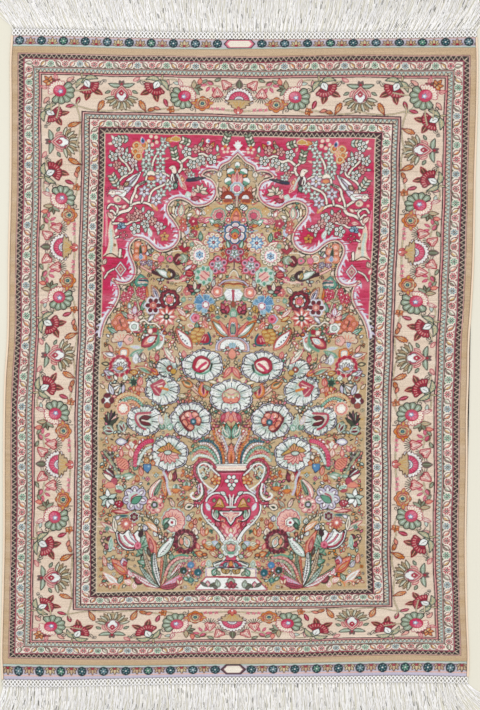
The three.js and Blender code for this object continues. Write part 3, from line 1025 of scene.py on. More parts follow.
strokes("""
    1.2 brown -132.5+331j -125.5+334.5j -118+331j -113+330.5j,
    2.6 mist -125.5+336j -125+345.5j -126.5+357.5j, 1.4 pink -132.5+381j -131.5+361.5j -131+341.5j,
    1 blush -131+373j -130.5+361.5j -131+351.5j, 0.8 tan -123.5+338j -123+348j -125+357.5j,
    0.8 blush -122+338j -122.5+346j -124.5+352.5j, 1.4 moss -99.5+403.5j -93.5+406.5j -90.5+408j""")
leaves("""
    -124.5+447j 35 6.4 2.8 cream rose, -126+443.5j 92 5.6 3 blush rose, -127.5+432j 20 5.6 2.2 mist rose,
    -112.5+434j -8 5.4 2.4 mist moss, -126+422j 92 5 2.2 mist mauve, -104.5+435.5j 40 5.6 2.4 white rose,
    -103.5+422j -150 6 2.2 mist mauve, -90+439.5j 4 4.6 2.6 mist grey, -75.5+446j 25 5.4 2.2 mist grey,
    -74.5+429j -72 6.2 2.2 blush rose, -92.5+416.5j 150 5.6 1.6 mist grey,
    -101+389.5j 5 5 3.2 blush maroon, -124.5+369j 45 8 4.4 blush maroon, -113+368.5j 95 7 3.4 blush rose,
    -115.5+379.5j -55 6 3 blush rose, -122+355j -25 5 2.6 cream rose, -99.5+376.5j 28 5.4 2.2 mist moss,
    -94+376.5j -4 5.4 2.4 mist moss, -91+361.5j 178 5 2.2 mist moss, -75.5+359.5j -60 6.4 2.2 mist moss,
    -77.5+359j 172 5.2 2.2 mist maroon, -85+385j -140 8.4 3 salmon gold, -133+323.5j -25 6 3.6 blush moss,
    -132.5+316j 20 6.4 3 blush rose, -33.5+438j 62 6 2.6 gold moss, -29+439.5j -35 8.6 4 orange maroon,
    -22+430j -28 6.8 3.6 straw moss, -20.5+437.5j 5 6.4 2.6 mist moss, -22+431.5j -80 6 2.2 salmon rose,
    -36.5+443.5j -8 6 2.2 salmon moss, -40.5+440.5j -40 7.6 3.4 sage maroon,
    -57+439.5j 24 5.4 2.2 cream rose, -34+422.5j -30 6 2.6 blush rose, -42+425.5j -150 8.6 3.6 blush rose,
    -43.5+391.5j 2 11 4.6 blush rose, -44+396.5j 4 5.6 2.8 mist rose, -48.5+391.5j 20 5 5 mist mist,
    -46+389.5j -80 9 3.6 crimson maroon, -85.5+353j 18 7.6 3 white mist,
    -91+403j -120 3.4 2.4 orange rose""")
for stalk, tip, count, size in rows_of("""
        -111.5+448j 90 3 4.8, -121.5+401.5j 30 4 5, -48.5+445j 70 3 4.6, -14+444j -20 4 4.6,
        -62.5+428.5j 14 4 4.6"""):
    for number in range(count):
        here = stalk + number * 3.4j * np.exp(1j * np.radians(tip))
        dye = ("mist", "cream")[number % 2] if size > 4.6 else ("ivory", "sage")[number % 2]
        for side in (-1, 1):
            leaf(FIELD, here, tip + side * 52, size, 2.0, dye, "moss")
for spot, radius in rows_of("""
        -122+445j 5, -119+436j 4.6, -126+430.5j 4.7, -112+430j 4.8, -122+422j 4.5, -105.5+424.5j 4.6,
        -116+416.5j 4.8, -107.5+371j 3.9, -103+371j 3.3, -99+375j 4.4, -87+373.5j 4.8, -91.5+365j 4.7,
        -83.5+367.5j 4.4, -77.5+362.5j 4.6, -101.5+360j 5.4, -51.5+436.5j 5, -46.5+423.5j 4.8,
        -42+439j 4.3, -37+427.5j 4.8, -26+429.5j 5, -30+440j 4.4, -95+371.5j 3, -50+416.5j 3.6"""):
    blossom(spot, radius, "white" if radius > 4.5 else "blush", "maroon" if radius < 4.65 else "moss")
for spot, radius in rows_of("""
        -73.5+445j 5, -89.5+435.5j 5, -78+437j 4.8, -92.5+426.5j 5.2, -78+427.5j 4.7, -92.5+419.5j 4.6,
        -78+419.5j 4.8, -88.5+419.5j 3, -77.5+410j 5.6, -87+405j 4.8, -93.5+397j 5.4, -76.5+395.5j 4.8,
        -81+388.5j 5.4, -68+402.5j 5, -46.5+413j 3.6"""):
    star_blossom(spot, radius, "lavender" if radius > 5.3 else "mist", "grey",
                 "gold" if radius > 5.5 else "rose")
for spot, size in ((-102.5 + 442j, 4.0), (-95 + 442.5j, 4.4), (-103.5 + 436j, 3.8),
                   (-100.5 + 431.5j, 4.4)):
    rosette(spot, "3 0.9 straw orange, 3 0.4 orange rust", size)
leaves("""
    -97.5+434.5j 0 6.4 3 orange blush, -96+444j 12 6.6 3.6 white pink, -96+445j 8 3.6 2 navy blue,
    -73+448j -75 8.6 3.6 orange rust, -69+446.5j -30 4 2.6 gold orange""")
for turn in range(5):
    dot(FIELD, -86 + 447.5j + 4.3j * np.exp(2j * np.pi * (turn + 0.4) / 5), 3.6, "cream")
    dot(FIELD, -12.5 + 440j + 3.0j * np.exp(2j * np.pi * (turn + 0.1) / 5), 2.9,
        "cream" if turn else "orange")
dot(FIELD, -85.5 + 447j, 2.6, "moss")
dot(FIELD, -30.5 + 447.5j, 4.0, "white")
dot(FIELD, -29.5 + 447.5j, 2.0, "blue")
shape(FIELD.at(-63 + 447j), fan(10, 170, 3, 4.4, 0.7), "gold", "cream", 0.5)
shape(FIELD.at(-87.5 + 413.5j), fan(-10, 190, 5, 3.6, 0.7), "ivory", "moss", 0.5)
shape(FIELD.at(-87 + 412j), fan(200, 340, 3, 3.4, 0.6), "orange", "crimson", 0.5)
shape(FIELD.at(-120.5 + 388j), oval(7.2, 6.0), "cream", "rose", 0.5)
dot(FIELD, -119.5 + 388j, 2.8, "sage")
dot(FIELD, -129 + 386j, 2.6, "blush")
for turn in range(5):
    leaf(FIELD, -37 + 397j, 74 - 44 * turn, 7.6, 3.2, "ivory" if turn % 2 else "cream", "moss")
    leaf(FIELD, -115.5 + 361j, 110 - 48 * turn, 4.4, 2.8, "sky", "navy")
    dot(FIELD, -113.5 + 353j + 3.2 * np.exp(1.26j * turn), 3.0, "maroon")
    dot(FIELD, -113.5 + 353j + 3.2 * np.exp(1.26j * turn), 1.1, "blush")
    leaf(FIELD, -71.5 + 352j, 72 * turn, 5.0, 3.6, "gold", "crimson")
dot(FIELD, -71.5 + 352j, 2.0, "moss")
for size, dye, edge in rows_of("""
        12.4 white mauve, 8.6 lavender rose, 6.4 blush rose, 3 rose sage"""):
    shape(FIELD.at(-115.5 + 319.5j), size * np.array([0.46, 0.6j, -0.46, -0.6j]), dye, edge, 0.6)
leaves("""
    -116+396.5j -43 27 8.6 white maroon, -115+396.5j -40 24 2.2 sky grey,
    -113.5+400.5j -46 16 1.6 lavender mauve, -117+394.5j -58 12 6 lavender mauve,
    -114+401.5j -45 6.4 4 olive maroon, -116.5+396.5j 12 5.6 4.2 blush brown""")
shape(FIELD.at(-120.5 + 394.5j), curve([-9, -7 + 3j, -2 + 2.6j, 5 + 3j, 9 + 1j, 6 - 3.6j, -1 - 1.4j,
                                        -5 - 4j, -9]), "white", "mauve", 0.6)
strokes("""
    0.9 rose -125+394.5j -121+396j -116+395j, 0.8 sage -122+393j -117+393.5j -113+396.5j""")
shape(FIELD.at(-125.5 + 394.5j), curve([-4.6 - 1j, -1.6 + 1.8j, 1.8 + 1.6j, 2.4 - 0.8j, 0.4 - 2.2j,
                                        -1.8 - 1.6j, -4.6 - 1j]), "ivory", "maroon", 0.5)
dot(FIELD, -125.5 + 395j, 1.3, "maroon")
rays(-126 + 395j, 110, 220, 6, 5.0, 6.4, 0.8, "charcoal")
leaves("""
    -62+404.5j 10 14 9 white maroon, -62.5+405.5j 2 10 5.4 plum charcoal,
    -52+407.5j -80 20 2.8 charcoal navy, -53+408j -86 11 2.2 navy plum, -55+404.5j 14 9.4 6.6 blush rose,
    -55+407j 14 4.6 3 orange crimson, -58+406.5j -140 9.6 3.4 rose blush,
    -62+405j 172 5.4 4 sea charcoal""")
shape(FIELD.at(-65 + 420j), curve([-4.4 + 0.4j, -2 + 2.4j, 1.4 + 2.2j, 2.8 - 0.6j, 3 - 4.6j, -0.4 - 4.4j,
                                   -1.6 - 1.6j, -4.4 + 0.4j]), "ivory", "maroon", 0.6)
dot(FIELD, -66 + 420j, 1.2, "plum")
strokes("""
    0.8 plum -63.5+402.5j -64+398.5j, 0.8 plum -61+402.5j -60+398.5j,
    1.6 mist -61+413.5j -58+408.5j -56+402.5j, 0.8 ivory -65+412.5j -64+407.5j""")
print("trees drawn")

# %% Flowers under the arch
strokes("""
    0.8 mauve -34.5+414.5j -30.5+417.5j -25.5+415j -21.5+417j,
    0.8 rose -32.5+413.5j -28.5+416j -24.5+413.5j,
    0.7 olive -16.5+416.5j -13.5+421.5j -7.5+424.5j -2.5+428j,
    1.4 fawn -19.5+406.5j -20.5+399.5j -19+392.5j, 0.7 moss -18.5+406.5j -18.5+399.5j -17.5+392.5j,
    0.7 olive -48+366.5j -40+375j -33.5+381j, 0.7 olive -48+366.5j -50.5+374.5j -46.5+380.5j,
    0.7 brown -51.5+353j -47.5+349j -41.5+350j, 0.8 rose -45.5+350j -38.5+349j -32+343.5j,
    0.7 moss -39.5+360j -32.5+363j -25.5+361.5j, 0.7 mauve -65.5+339.5j -58.5+341j -49.5+339j,
    0.8 ivory -64.5+337j -59.5+338j -54.5+338j, 0.8 sky -21.5+359.5j -16+358j -11+358.5j,
    0.8 moss -69.5+336.5j -70+330.5j -67.5+327j, 0.7 moss -75.5+327j -67+325.5j -60+327j,
    0.8 rose -85.5+322j -78.5+321j -73.5+325j, 0.7 brown -59+323j -54+318j -50.5+313j,
    3.6 mauve 396.5j 0.5+381.5j, 2.2 fawn 396.5j 0.5+381.5j, 0.7 charcoal 393.5j 0.5+382.5j,
    0.8 charcoal -4+392.5j -6+388.5j -9.5+384.5j, 0.8 mauve -2.5+386.5j -6.5+383.5j,
    0.8 brown 423j 0.5+417j""")
for spot, radius in ((0.5 + 425j, 3.0), (-6.5 + 418j, 3.5), (-9 + 408.5j, 3.6)):
    shape(FIELD.at(spot), oval(2 * radius, 2 * radius), "white", "moss", 0.5)
    fill(FIELD.at(spot), np.append(radius * np.exp(1j * np.radians(np.linspace(-150, 20, 9))), 0), "sea")
leaves("""
    -0.5+405.5j 22 10.6 6.4 salmon rose, 0.5+405.5j 0 14 3.6 crimson blush, -6+413j 60 4 2.2 orange brown,
    -17.5+412.5j 8 6 5 cream olive, -12+396.5j 16 6.6 4 salmon rust, -8+397j -8 6 3.4 orange rust,
    -15+398.5j 50 5 2.6 blush moss""")
rosette(401j, "8 6.6 sky lavender, 8 4.8 white sage, 6 3 pink rose")
shape(FIELD.at(-9 + 391.5j), fan(-8, 188, 7, 6.2, 0.9), "rust", "maroon", 0.5)
shape(FIELD.at(-9 + 391j), fan(200, 340, 1, 5.2, 0.0), "rust", "orange", 0.5)
shape(FIELD.at(-8.5 + 391.5j), fan(0, 180, 1, 3.6, 0.0) - 0.6j, "white", "maroon", 0.5)
dot(FIELD, -8.5 + 392.5j, 1.6, "lavender")
strokes("""
    1 orange -18+386.5j -12+386j -7+387j, 1 rose -20+387.5j -15.5+384.5j""")
rosette(-17 + 374j, "1 8 sage sage, 1 7.2 ivory sea, 1 6 blush rose, 1 4.6 cream rose, 7 3.2 magenta mauve")
shape(FIELD.at(-7 + 382j, turn=18), oval(7.0, 5.2), "white", "charcoal", 0.7)
strokes("""
    0.8 charcoal -9.5+383.5j -5.5+380j, 0.8 sea -7.5+384j -4.5+382j""")
leaf(FIELD, 366j, 0, 16.0, 10.0, "orange", "brown")
leaf(FIELD, 367j, 0, 11.0, 5.0, "salmon", "rose")
rays(-0.5 + 372.5j, 30, 150, 4, 1.0, 2.6, 0.9, "rust")
rosette(-7.5 + 369.5j, "4 2.4 rose salmon, 1 1 white -")
round_petals(356.5j, 6, 7.2, 8.8, 8.0, "sky", "blue", 0, 0.8)
round_petals(356.5j, 6, 6.8, 7.4, 6.6, "white", "navy", 0, 0.9)
round_petals(356.5j, 6, 7.4, 3.8, 2.6, "lavender", "blush", 0)
rosette(356.5j, "6 5.8 rose navy, 12 4.8 blush rose, 5 3.8 sea pine")
rosette(0.5 + 353.5j, "6 3.4 orange rust, 4 1.6 crimson -")
leaves("""
    -5.5+340.5j 16 9 3.2 sea moss, -34.5+348.5j 4 9 3.8 sea moss, -44.5+343j -30 4.6 3.4 sea sage,
    -32+342.5j 58 12 5 ivory rose, -62.5+374.5j 5 9 3.2 straw brown,
    -59.5+372.5j 2 9.6 3.4 white charcoal, -55.5+371.5j -2 13.6 6.6 blush rose,
    -55.5+373.5j -2 9.6 3.2 ivory sea, -51.5+374.5j -30 8 2.2 straw charcoal,
    -37.5+374j 20 6 3.2 cream rose, -31.5+374j 14 5.6 3.8 cream olive, -49+372.5j -60 6 3 cream olive,
    -32.5+367j -60 9.4 4.6 pink rose, -22.5+365.5j -60 8 3.4 sage moss, -21.5+367j 60 5.6 3 mist sea,
    -49.5+355j -10 8.6 3.4 sky lavender, -49+363j -70 5.6 2.2 sage pine, -36+366j 10 6.4 3.4 straw moss,
    -16.5+363.5j 80 5 2.2 orange rust, -90+333j -38 8.6 3.2 lavender charcoal,
    -85+335j 30 5 2 sage charcoal, -50+319.5j -58 9 3 lavender grey, -48+325j -62 8 2.8 salmon rose,
    -43+320.5j -42 6 3 rose crimson, -58+324j 40 5 2 mist olive, -6.5+337.5j 60 5 2.4 sage maroon,
    -55.5+340j -40 5 2.4 fawn rose""")
for spot, radius, dye, edge in rows_of("""
        -53+367j 3.4 salmon rust, -52.5+361j 3.6 salmon rose, -42.5+367.5j 4.2 crimson rose,
        -41+356j 2.8 rose crimson, -34.5+369.5j 2.8 blush rose, -44+353.5j 2 ivory olive,
        -28.5+379j 3 straw gold, -47.5+298j 3.6 salmon rose, -92.5+326.5j 3 lavender mauve,
        -86+326j 3 sky mauve, -51.5+311j 3 pink rose, -58+311.5j 2.4 sage moss"""):
    blossom(spot, radius, dye, edge, "ivory")
round_petals(-21.5 + 347j, 9, 7.6, 5.0, 4.6, "fawn", "rose", 10)
round_petals(-21.5 + 347j, 9, 7.8, 2.4, 2.0, "sand", "ivory", 10)
star_blossom(-21.5 + 347j, 5.8, "sky", "blue", "rose", 8)
round_petals(-35.5 + 334.5j, 10, 7.6, 5.0, 5.0, "ivory", "olive", 6)
round_petals(-35.5 + 334.5j, 10, 7.6, 1.8, 2.4, "sage", None, 6)
rosette(-35.5 + 334.5j, "11 5.8 white pink")
star_blossom(-35.5 + 334.5j, 3.0, "sky", "blue", "blue", 6)
for spot, turn in ((335.5j, 0), (-16 + 324j, 8)):
    round_petals(spot, 5, 5.8, 7.0, 6.6, "pink" if turn else "rose", "crimson", turn, 0.8)
    round_petals(spot, 5, 6.2, 3.0, 3.4, "mauve", "lavender", turn, 0.4)
    star_blossom(spot, 4.0, "lavender", "sea", "sea", 5, 36 + turn)
shape(FIELD.at(-51.5 + 340.5j), np.array([-6 + 2.4j, -2.4 + 2j, -1.4 + 5.4j, 2 + 5.2j, 2.6 + 1.6j,
                                          6 + 1.6j, 3 - 1.6j, -0.4 - 3.8j,
                                       -3.4 - 0.6j]), "crimson", "maroon", 0.5)
leaf(FIELD, -51 + 341.5j, -4, 5.0, 2.6, "cream", "moss")
rosette(-56.5 + 329.5j, "5 5.4 maroon plum")
rosette(-52 + 330.5j, "5 4.4 sage pine")
strokes("""
    0.9 blush -59+328j -56.5+331.5j -54.5+332j, 1 crimson -57+326j -54+329j,
    1 mist -52+327j -50+331j -52.5+333.5j""")
rosette(-65.5 + 330j, "3 3.4 pink moss, 1 1.4 sea -")
rosette(-79.5 + 332j, "4 3.9 ivory orange, 3 2.2 cream olive")
rosette(-74.5 + 330j, "5 3 pink rose")
for spot, size in rows_of("""
        -98.5+344j 3.6, -93+339.5j 3.6, -99.5+338j 2.6, -99.5+332j 3.8, -92+331.5j 3.2"""):
    rosette(spot, "4 1 salmon rust, 3 0.55 blush orange", size)
leaves("""
    -95+330.5j 4 12.6 2.2 pine olive, -95+330j 0 4.6 3.2 blue lavender""")
striped(-45 + 312.5j, 4, 7.6, 7.4, "crimson", "maroon", "salmon", 2)
rosette(-30 + 314j, "7 9 mist sage, 6 6 blush sea")
for turn in (62, 100, 150, 200, 268, 320):
    leaf(FIELD, -30 + 314j + 5.0j * np.exp(1j * np.radians(turn - 90)), turn - 90, 4.6, 3.4, "sea",
         "mist")
strokes("""
    1 rose -31+318.5j -25+313.5j, 1 rose -33.5+314j -28+309.5j""")
strokes("""
    1.8 olive -5+312j -3.5+316j -0.5+320j, 1 ivory -4.5+312j -3+316.5j 319j, 1 mauve -0.5+328.5j 319.5j,
    2 mauve -14.5+304j -9.5+308j 0.5+309.5j, 1 lavender -14.5+304j -9.5+308j 0.5+309.5j,
    1.8 rust -11.5+304.5j -5.5+306j 305j, 1 gold -8.5+303j -3.5+304.5j 303j,
    1 rose -5.5+311j -1.5+312.5j""")
leaves("""
    -21+303j -12 7 3.4 mist mauve, -14+311j -20 4.6 3 fawn olive""")
print("arch filled")

# %% The long-tailed bird and the flowers below it
strokes("""
    3 maroon -94.5+322.5j -85.5+317.5j -75+313.5j -65+309.5j,
    1.8 blush -94.5+322.5j -85.5+317.5j -75+313.5j -67+309.5j -59+308j -50.5+310j,
    3.6 plum -82.5+317j -74+314j -67+310.5j -62+312.5j -61.5+316.5j -66+319j,
    1.2 fawn -61+307.5j -53.5+308.5j -48.5+312.5j""")
leaves("""
    -65+312j 62 16 5.6 mist olive, -68+314j 64 9 1.6 white -, -65.5+311.5j 8 6.4 3.6 gold moss,
    -63.5+312.5j 0 4 1.6 ivory -, -94+301j 4 13.6 13 sea teal, -58+297j -40 8 3.6 cream olive,
    -108.5+286j -20 5.6 2.4 salmon rust, -105.5+280j 10 6 2.6 sky sage, -93.5+278j -14 11 3.6 sea moss,
    -106+271.5j 52 10 3.4 sage moss, -109+268j -80 9 2.4 orange rust, -81+274j 140 8.6 3.2 lavender grey,
    -85.5+273j 110 6 2 straw olive, -103+265.5j 70 5 2.4 ivory rose, -116.5+255.5j 62 13 4.4 sea moss,
    -114.5+242.5j 5 9 3.4 blue lavender, -104+233j -64 15 4.6 sea sage,
    -94+241.5j 84 9.6 2.2 lavender mist, -26.5+261.5j 28 7.6 2.6 rose salmon,
    -40.5+262.5j 70 5.6 2.6 rose ivory, -37+261.5j -2 5 3.4 sea moss, -51.5+287.5j -8 5 4 sea sage,
    -41+283.5j 100 9.6 4 salmon rose, -41.5+282.5j 78 5.6 3.4 cream rose, -51+271.5j -60 8.6 3 straw rust,
    -48+269.5j 60 9 3.2 gold rust, -48.5+273.5j 50 12 3.6 cream rose, -73.5+271j 95 5.6 3 blush rose""")
strokes("""
    1 rose -97+310j -91.5+310.5j -87.5+310j, 1.4 navy -97+308.5j -90.5+308.5j -87.5+308j,
    1 blush -98+306.5j -92.5+307j -88.5+306j, 1 teal -98+304j -91.5+304.5j -87.5+304j""")
for points in rows_of("""
        -95+277j -97.5+285j -99.5+292j -102+301j, -98.5+289j -105+291j -110+296j,
        -98+290j -93.5+292j -90.5+298j, -102+296j -107+299j, -94+277j -91+271j -94.5+265j"""):
    twig(points, 1.0, "fawn", "olive")
for spot, radius in rows_of("""
        -111.5+294j 3, -106+296.5j 3.4, -108+291.5j 3.2, -112+290j 2.4, -96+298.5j 3.2, -92+299.5j 3,
        -96+295j 2.8, -92.5+292j 2.6, -105.5+300j 2.4"""):
    blossom(spot, radius, "pink", "crimson", "white", 4)
leaves("""
    -76.5+289.5j 28 15.6 6.6 fawn rust, -77.5+290j 24 12 3.4 lavender mauve, -78+292j 24 8 1.4 navy -,
    -88+291j 6 11 1.4 orange rust""")
round_petals(-82 + 283.5j, 6, 5.4, 6.4, 6.4, "white", "lavender", 30, 0.8)
round_petals(-82 + 283.5j, 6, 5.3, 3.8, 4.4, "maroon", "plum", 30, 0.4)
rosette(-65.5 + 289.5j, "9 10.4 maroon plum, 9 7.6 plum crimson")
round_petals(-65.5 + 289.5j, 6, 4.6, 3.4, 3.0, "white", "moss", 20)
rosette(-65.5 + 289.5j, "5 4.2 salmon maroon, 4 2.4 pink crimson")
for turn in range(6):
    dot(FIELD, -65.5 + 289.5j + 8.6j * np.exp(1j * np.radians(60 * turn + 50)), 1.4, "crimson")
rosette(-82 + 283.5j, "6 3.2 salmon rose, 4 1.8 blush rust")
petals(FIELD.at(-68 + 272.5j), 8, 1.6, 9.0, 3.8, "salmon", "rose", turn=0)
petals(FIELD.at(-68 + 272.5j), 8, 2.0, 6.6, 1.5, "white", None)
rays(-68 + 272.5j, 22, 338, 8, 5.0, 8.6, 1.0, "crimson")
rosette(-68 + 272.5j, "6 2.6 moss charcoal, 4 1.2 straw -")
leaves("""
    -102+274j 36 8 4.4 cream maroon, -100.5+275j 0 8.4 4.6 lavender rose, -98.5+267j -10 8 5 blush rose,
    -102+271j 60 6.6 3.4 blush rose, -97+273j -34 6.4 3.4 pink maroon, -96+271j -70 4.6 3 straw moss""")
for spot, size in rows_of("""
        -116+271j 4.4, -120+266.5j 3.8, -116+261.5j 4, -110.5+264j 3.8, -106.5+260j 3.4,
        -112.5+268.5j 3"""):
    rosette(spot, "3 1 orange rose, 3 0.6 salmon rust", size)
line(FIELD, np.array([-115.5 + 269.5j, -113.5 + 263.5j]), 1.0, "moss")
rosette(-100.5 + 262.5j, "5 5 white sage, 3 2.4 mist grey")
strokes("""
    2.2 brown -94.5+267.5j -90.5+269j -85.5+265.5j -79.5+265.5j -73+260.5j,
    1.3 ivory -94.5+267.5j -90.5+269j -85.5+265.5j -79.5+265.5j -74+261j,
    1.6 rose -101+257.5j -94+257j -92.5+259.5j -95+264j,
    0.8 olive -93+246j -92.5+252j -90.5+258j -89+251j,
    1.3 brown -55.5+247.5j -59+253.5j -61+259.5j -60+263j, 1 brown -57.5+255.5j -58+261j -56+263j""")
leaves("""
    -77+239.5j -24 17.6 7 white sage, -69+255j 100 6 5 white lavender, -72+249j 30 5.6 3 salmon rose,
    -71+256j -84 4 2.6 rust maroon""")
dot(FIELD, -73.5 + 256j, 1.2, "navy")
strokes("""
    3.4 sage -83.5+262j -78+259j -75.5+252j -77+245j -85+240j,
    2 sea -83.5+262j -78+259j -75.5+252j -77+245j -85+240j""")
leaves("""
    -92.5+243j -56 19 9.6 crimson maroon, -90.5+244.5j -56 14.6 5.4 salmon rose,
    -86+247.5j -56 8 4.2 sky ivory""")
rosette(-79.5 + 259j, "4 2.6 crimson olive")
rosette(-84 + 258j, "4 2.2 ivory rose")
shape(FIELD.at(-113 + 248.5j), fan(-10, 190, 6, 9.0, 1.6) * 1.0, "fawn", "maroon", 0.7)
rays(-113 + 247.5j, 20, 160, 6, 3.0, 7.6, 0.8, "salmon")
shape(FIELD.at(-106 + 249.5j), scallops(5, 4.0, 0.9), "blush", "rust", 0.6)
rosette(-110.5 + 236.5j, "5 5.4 orange rust, 4 3 ivory sky")
leaves("""
    -117.5+232.5j 74 15.6 6 cream rust, -120.5+234j 76 8.6 3 lavender grey,
    -122+237.5j 30 8.6 3.2 salmon brown""")
shape(FIELD.at(-36.5 + 254.5j), curve([-5 - 6j, -5.6, -3 + 4.6j, 1 + 6.4j, 5.6 + 4.6j, 7.6 - 1j, 5 - 6.4j,
                                       -5 - 6j]), "gold", "rust", 0.7)
for spot in (-31.5 + 258.5j, -37 + 259.5j, -39.5 + 256.5j, -40 + 252.5j, -38 + 248.5j, -34 + 255j,
             -33.5 + 250.5j):
    shape(FIELD.at(spot), oval(6.0, 3.8), "gold", "rust", 0.4)
    line(FIELD, np.array([spot - 1.6, spot + 1.8]), 0.6, "straw")
shape(FIELD.at(-28 + 251.5j), curve([-4 - 4j, -2 + 1.6j, 1.4 + 3.4j, 4.4 + 0.6j, 4 - 3.6j, 0.6 - 5.4j,
                                     -4 - 4j]), "crimson", "rose", 0.5)
strokes("""
    0.9 blush -31+249j -29+252.5j, 0.9 blush -28+248.5j -27+252j,
    2 teal -25+256.5j -22.5+251j -24+246j -29+245j""")
for turn, half, reach, dye in rows_of("""
        57 27 11.6 blue, -6 22 9.4 blue, -60 20 8.6 blue, 116 21 9.6 blue, 170 20 8 sky"""):
    here = FIELD.at(-28.5 + 285j, turn=turn)
    shape(here, fan(90 - half, 90 + half, 4, reach - 1.2, 1.4), dye, "sky", 0.6)
    for side in (-0.6, -0.2, 0.2, 0.6):
        ray = 1j * np.exp(1j * np.radians(side * half))
        line(here, [0.55 * reach * ray, 0.95 * reach * ray], 0.5, "steel" if side > 0 else "sky")
rosette(-28.5 + 284.5j, "6 3.6 crimson lavender, 5 2.6 white rose")
shape(FIELD.at(-22 + 281j, turn=-24), oval(5.4, 6.6), "gold", "brown", 0.6)
strokes("""
    0.6 brown -24+282j -20.5+279.5j, 0.6 brown -22.5+283.5j -22+278j, 0.8 olive -26+279j -25.5+273j,
    0.8 olive -20+279j -13.5+273j -8.5+269.5j, 0.9 mauve -35+272j -30+273j -24+271j -19.5+268j""")
rosette(-39.5 + 271.5j, "5 4.4 lavender sky")
rosette(-38.5 + 271.5j, "5 3.8 pink rose, 3 1.6 crimson -")
leaves("""
    -40+299.5j 55 8.6 4.6 maroon plum, -40+299.5j -50 8.6 4.6 maroon plum,
    -39.5+299.5j 0 8.6 3 ivory moss, -40+298.5j 84 6 3 maroon charcoal, -40+298.5j -84 6 3 sage charcoal,
    -13.5+271.5j 84 5 3 teal sage, -7.5+276j 26 11 5.4 crimson maroon, -7.5+276j -14 8 5 crimson maroon,
    -7.5+277j 72 6 3.2 maroon plum, -9+291j 84 6.6 3.6 sea sage, -1+271.5j 0 9.6 5 sea sage""")
rosette(-16.5 + 297.5j, "5 6 blush maroon, 4 4 salmon rose, 3 1.8 ivory -")
shape(FIELD.at(-0.5 + 293j), curve([-9 + 3j, -5 + 7j, 7j, 5 + 7j, 9 + 3j, 6 - 3j, -6.4j, -6 - 3j,
                                    -9 + 3j]), "white", "sage", 0.6)
rays(-0.5 + 296.5j, 150, 250, 4, 3.0, 8.0, 0.7, "lavender")
strokes("""
    1.6 rose -0.5+297.5j -0.5+289.5j, 1.2 rust -8.5+285j -4.5+288.5j -0.5+286.5j,
    0.9 blush -7.5+286.5j -4.5+287.5j""")
dot(FIELD, -0.5 + 298.5j, 2.8, "rose")
leaf(FIELD, -0.5 + 282.5j, 0, 6.0, 3.4, "rust", "olive")
leaves("""
    -4.5+252.5j 46 25 9.6 orange rust, -5.5+253.5j 47 21 5.4 mist brown, -7+255j 47 17 2.4 white sage,
    -5+255.5j 36 16 2.4 salmon rose""")
shape(FIELD.at(-1 + 262.5j), oval(6.4, 19.0), "salmon", "rose", 0.7)
shape(FIELD.at(-1 + 261j), oval(3.6, 13.0), "white", "rose", 0.5)
leaf(FIELD, -1 + 256j, 0, 9.6, 2.4, "sage", "teal")
dome = curve([-16 - 6j, -15 + 1j, -8 + 6.6j, 7.4j, 8 + 6.6j, 15 + 1j, 16 - 6j, 10 - 6j, 8 - 2.6j, -0.6j,
              -8 - 2.6j, -10 - 6j, -16 - 6j])
for size, dye, edge in ((1.0, "lavender", "charcoal"), (0.84, "blush", "mauve"),
                        (0.7, "white", "charcoal")):
    shape(FIELD.at(-1 + 245j), dome * size, dye, edge, 0.5)
dot(FIELD, -1 + 244.5j, 5.6, "sky")
rays(-0.5 + 239j, 40, 140, 7, 5.0, 9.0, 0.5, "sage")
leaf(FIELD, -0.5 + 231j, 0, 10.6, 6.6, "salmon", "olive")
leaf(FIELD, -41 + 240.5j, 40, 26.0, 9.6, "salmon", "rust")
leaf(FIELD, -42 + 242.5j, 40, 22.0, 6.6, "white", "rose")
for spot in (-55 + 255.5j, -52.5 + 253.5j, -50.5 + 250j, -48 + 248.5j, -46 + 246j):
    dot(FIELD, spot, 1.5, "navy")
print("upper field filled")

# %% [markdown]
# ### Peonies
#
# The large white peonies are built alike: a rim of two outlines, broad lobes parted by dark lines,
# and green-grey threads that run in from the lobes. Only the hearts differ.

# %% Peonies


